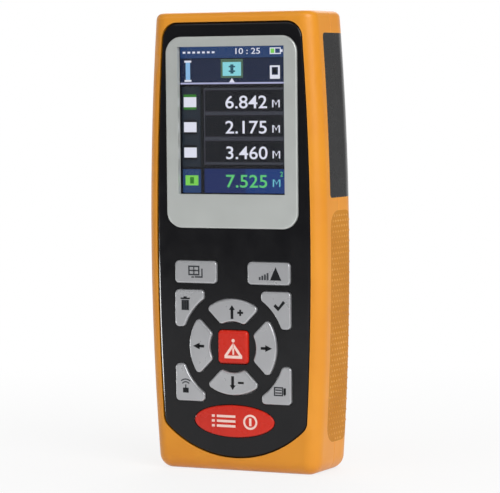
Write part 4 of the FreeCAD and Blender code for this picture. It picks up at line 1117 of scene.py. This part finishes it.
paper.feed(mixed.inputs[1], paper.shader.outputs["BSDF"])
paper.feed(mixed.inputs[2], glow.outputs["Emission"])
paper.feed(paper.tree.nodes["Material Output"].inputs["Surface"], mixed.outputs["Shader"])
print("floor in metres:", 2 * FLOOR_SIZE)

# %% [markdown]
# The world is white wherever the camera looks. Mirror-like rays see the same white behind the meter,
# and a dimmer room in front of it, where the photographer stood. That keeps the black panel black.
# For the light that falls on the meter, the whole room is a soft grey.

# %% The room
AMBIENT = 0.42
GLEAM = 0.16
BEHIND_START = 0.9
BEHIND_END = 0.995
world = bpy.data.worlds.new("studio")
scene.world = world
world.use_nodes = True
room = Network(world.node_tree)
rays = room.node("ShaderNodeLightPath").outputs
looking = room.node("ShaderNodeSeparateXYZ")
room.feed(looking.inputs[0], room.node("ShaderNodeTexCoord").outputs["Generated"])
behind = room.spread(looking.outputs["Y"], 0, 1, BEHIND_START, BEHIND_END)
mirrored = room.combine("MULTIPLY", behind, rays["Is Glossy Ray"])
direct = room.combine("MAXIMUM", rays["Is Camera Ray"], rays["Is Transmission Ray"])
bright = room.combine("MAXIMUM", direct, mirrored)
quiet = room.spread(rays["Is Glossy Ray"], AMBIENT, GLEAM, 0, 1)
backdrop = room.tree.nodes["Background"]
room.feed(backdrop.inputs["Color"], WHITE)
room.feed(backdrop.inputs["Strength"], room.spread(bright, quiet, 1.0, 0, 1))
print("nodes of the room:", len(room.tree.nodes))

# %% [markdown]
# The light is that of a product photo. A big soft lamp on the right lights the flank and the front,
# a weaker one on the upper left fills the front, and one behind the meter lights its back and its top.
# Two more show only in gloss: one on the left, along the rounded edges of the bezel and the keys, and
# a small one that is linked to the glossy panel alone and draws the thin bright line down its left edge.


# %% Lamps
def lamp(name, place, aim, wide, tall, power, gleam_only=False):
    """A soft rectangular lamp that looks at a point; a gleam-only one shows in gloss and lights nothing."""
    light = bpy.data.lights.new(name, "AREA")
    light.shape = "RECTANGLE"
    light.size = wide
    light.size_y = tall
    light.energy = power
    holder = bpy.data.objects.new(name, light)
    holder.location = place
    holder.rotation_euler = (Vector(aim) - Vector(place)).to_track_quat("-Z", "Y").to_euler()
    holder.visible_camera = False
    holder.visible_diffuse = not gleam_only
    scene.collection.objects.link(holder)
    return holder


MIDDLE = (0, 0, case_height / 2)
PANEL_FOOT = (-0.025, -0.0135, 0.03)
lamp("key_lamp", (0.8, -0.55, 0.6), MIDDLE, wide=0.7, tall=0.7, power=7.6)
lamp("soft_lamp", (-0.4, -0.9, 1.0), MIDDLE, wide=0.7, tall=0.5, power=1.3)
lamp("back_lamp", (-0.3, 0.9, 0.7), MIDDLE, wide=0.8, tall=0.6, power=4.0)
lamp("key_gleam", (-0.6, 0.2, 0.2), MIDDLE, wide=0.35, tall=0.5, power=0.6, gleam_only=True)
panel_place = (-0.17, -0.052, 0.026)
panel_gleam = lamp("panel_gleam", panel_place, PANEL_FOOT, wide=0.09, tall=0.05, power=0.5, gleam_only=True)
panel_only = bpy.data.collections.new("panel_only")
panel_only.objects.link(nodes["front_panel"])
panel_gleam.light_linking.receiver_collection = panel_only
print("lamps:", len(bpy.data.lights))

# %% [markdown]
# The camera stands where the photographer stood: a little above the meter and about 26 degrees to its right.
# Its place is worked out from that direction, a distance and the point it looks at, with a small roll.
# The lens is long, as for a product photo, so the case hardly narrows towards the back.

# %% Camera
AZIMUTH = math.radians(25.934)
ELEVATION = math.radians(3.413)
ROLL = math.radians(-0.518)
DISTANCE = 811.67 * MM
TARGET = Vector((-1.137, 0.5, 66.17)) * MM
SENSOR = 36.0
FRAME_WIDTH = 500
FOCUS_PIXELS = 2707.94
NEAREST = 0.05
away = Vector(
    (
        math.sin(AZIMUTH) * math.cos(ELEVATION),
        -math.cos(AZIMUTH) * math.cos(ELEVATION),
        math.sin(ELEVATION),
    )
)
level_right = Vector((math.cos(AZIMUTH), math.sin(AZIMUTH), 0))
level_up = away.cross(level_right)
right = level_right * math.cos(ROLL) + level_up * math.sin(ROLL)
up = level_up * math.cos(ROLL) - level_right * math.sin(ROLL)
camera_data = bpy.data.cameras.new("camera")
camera_data.sensor_width = SENSOR
camera_data.lens = SENSOR * FOCUS_PIXELS / FRAME_WIDTH
camera_data.clip_start = NEAREST
camera = bpy.data.objects.new("camera", camera_data)
turn = Matrix((right, up, away)).transposed().to_4x4()
camera.matrix_world = Matrix.Translation(TARGET + away * DISTANCE) @ turn
scene.collection.objects.link(camera)
scene.camera = camera
scene.view_settings.view_transform = "Standard"
print("lens in mm:", round(camera_data.lens, 1))

# %% [markdown]

# %% The end
print("the scene is set up")
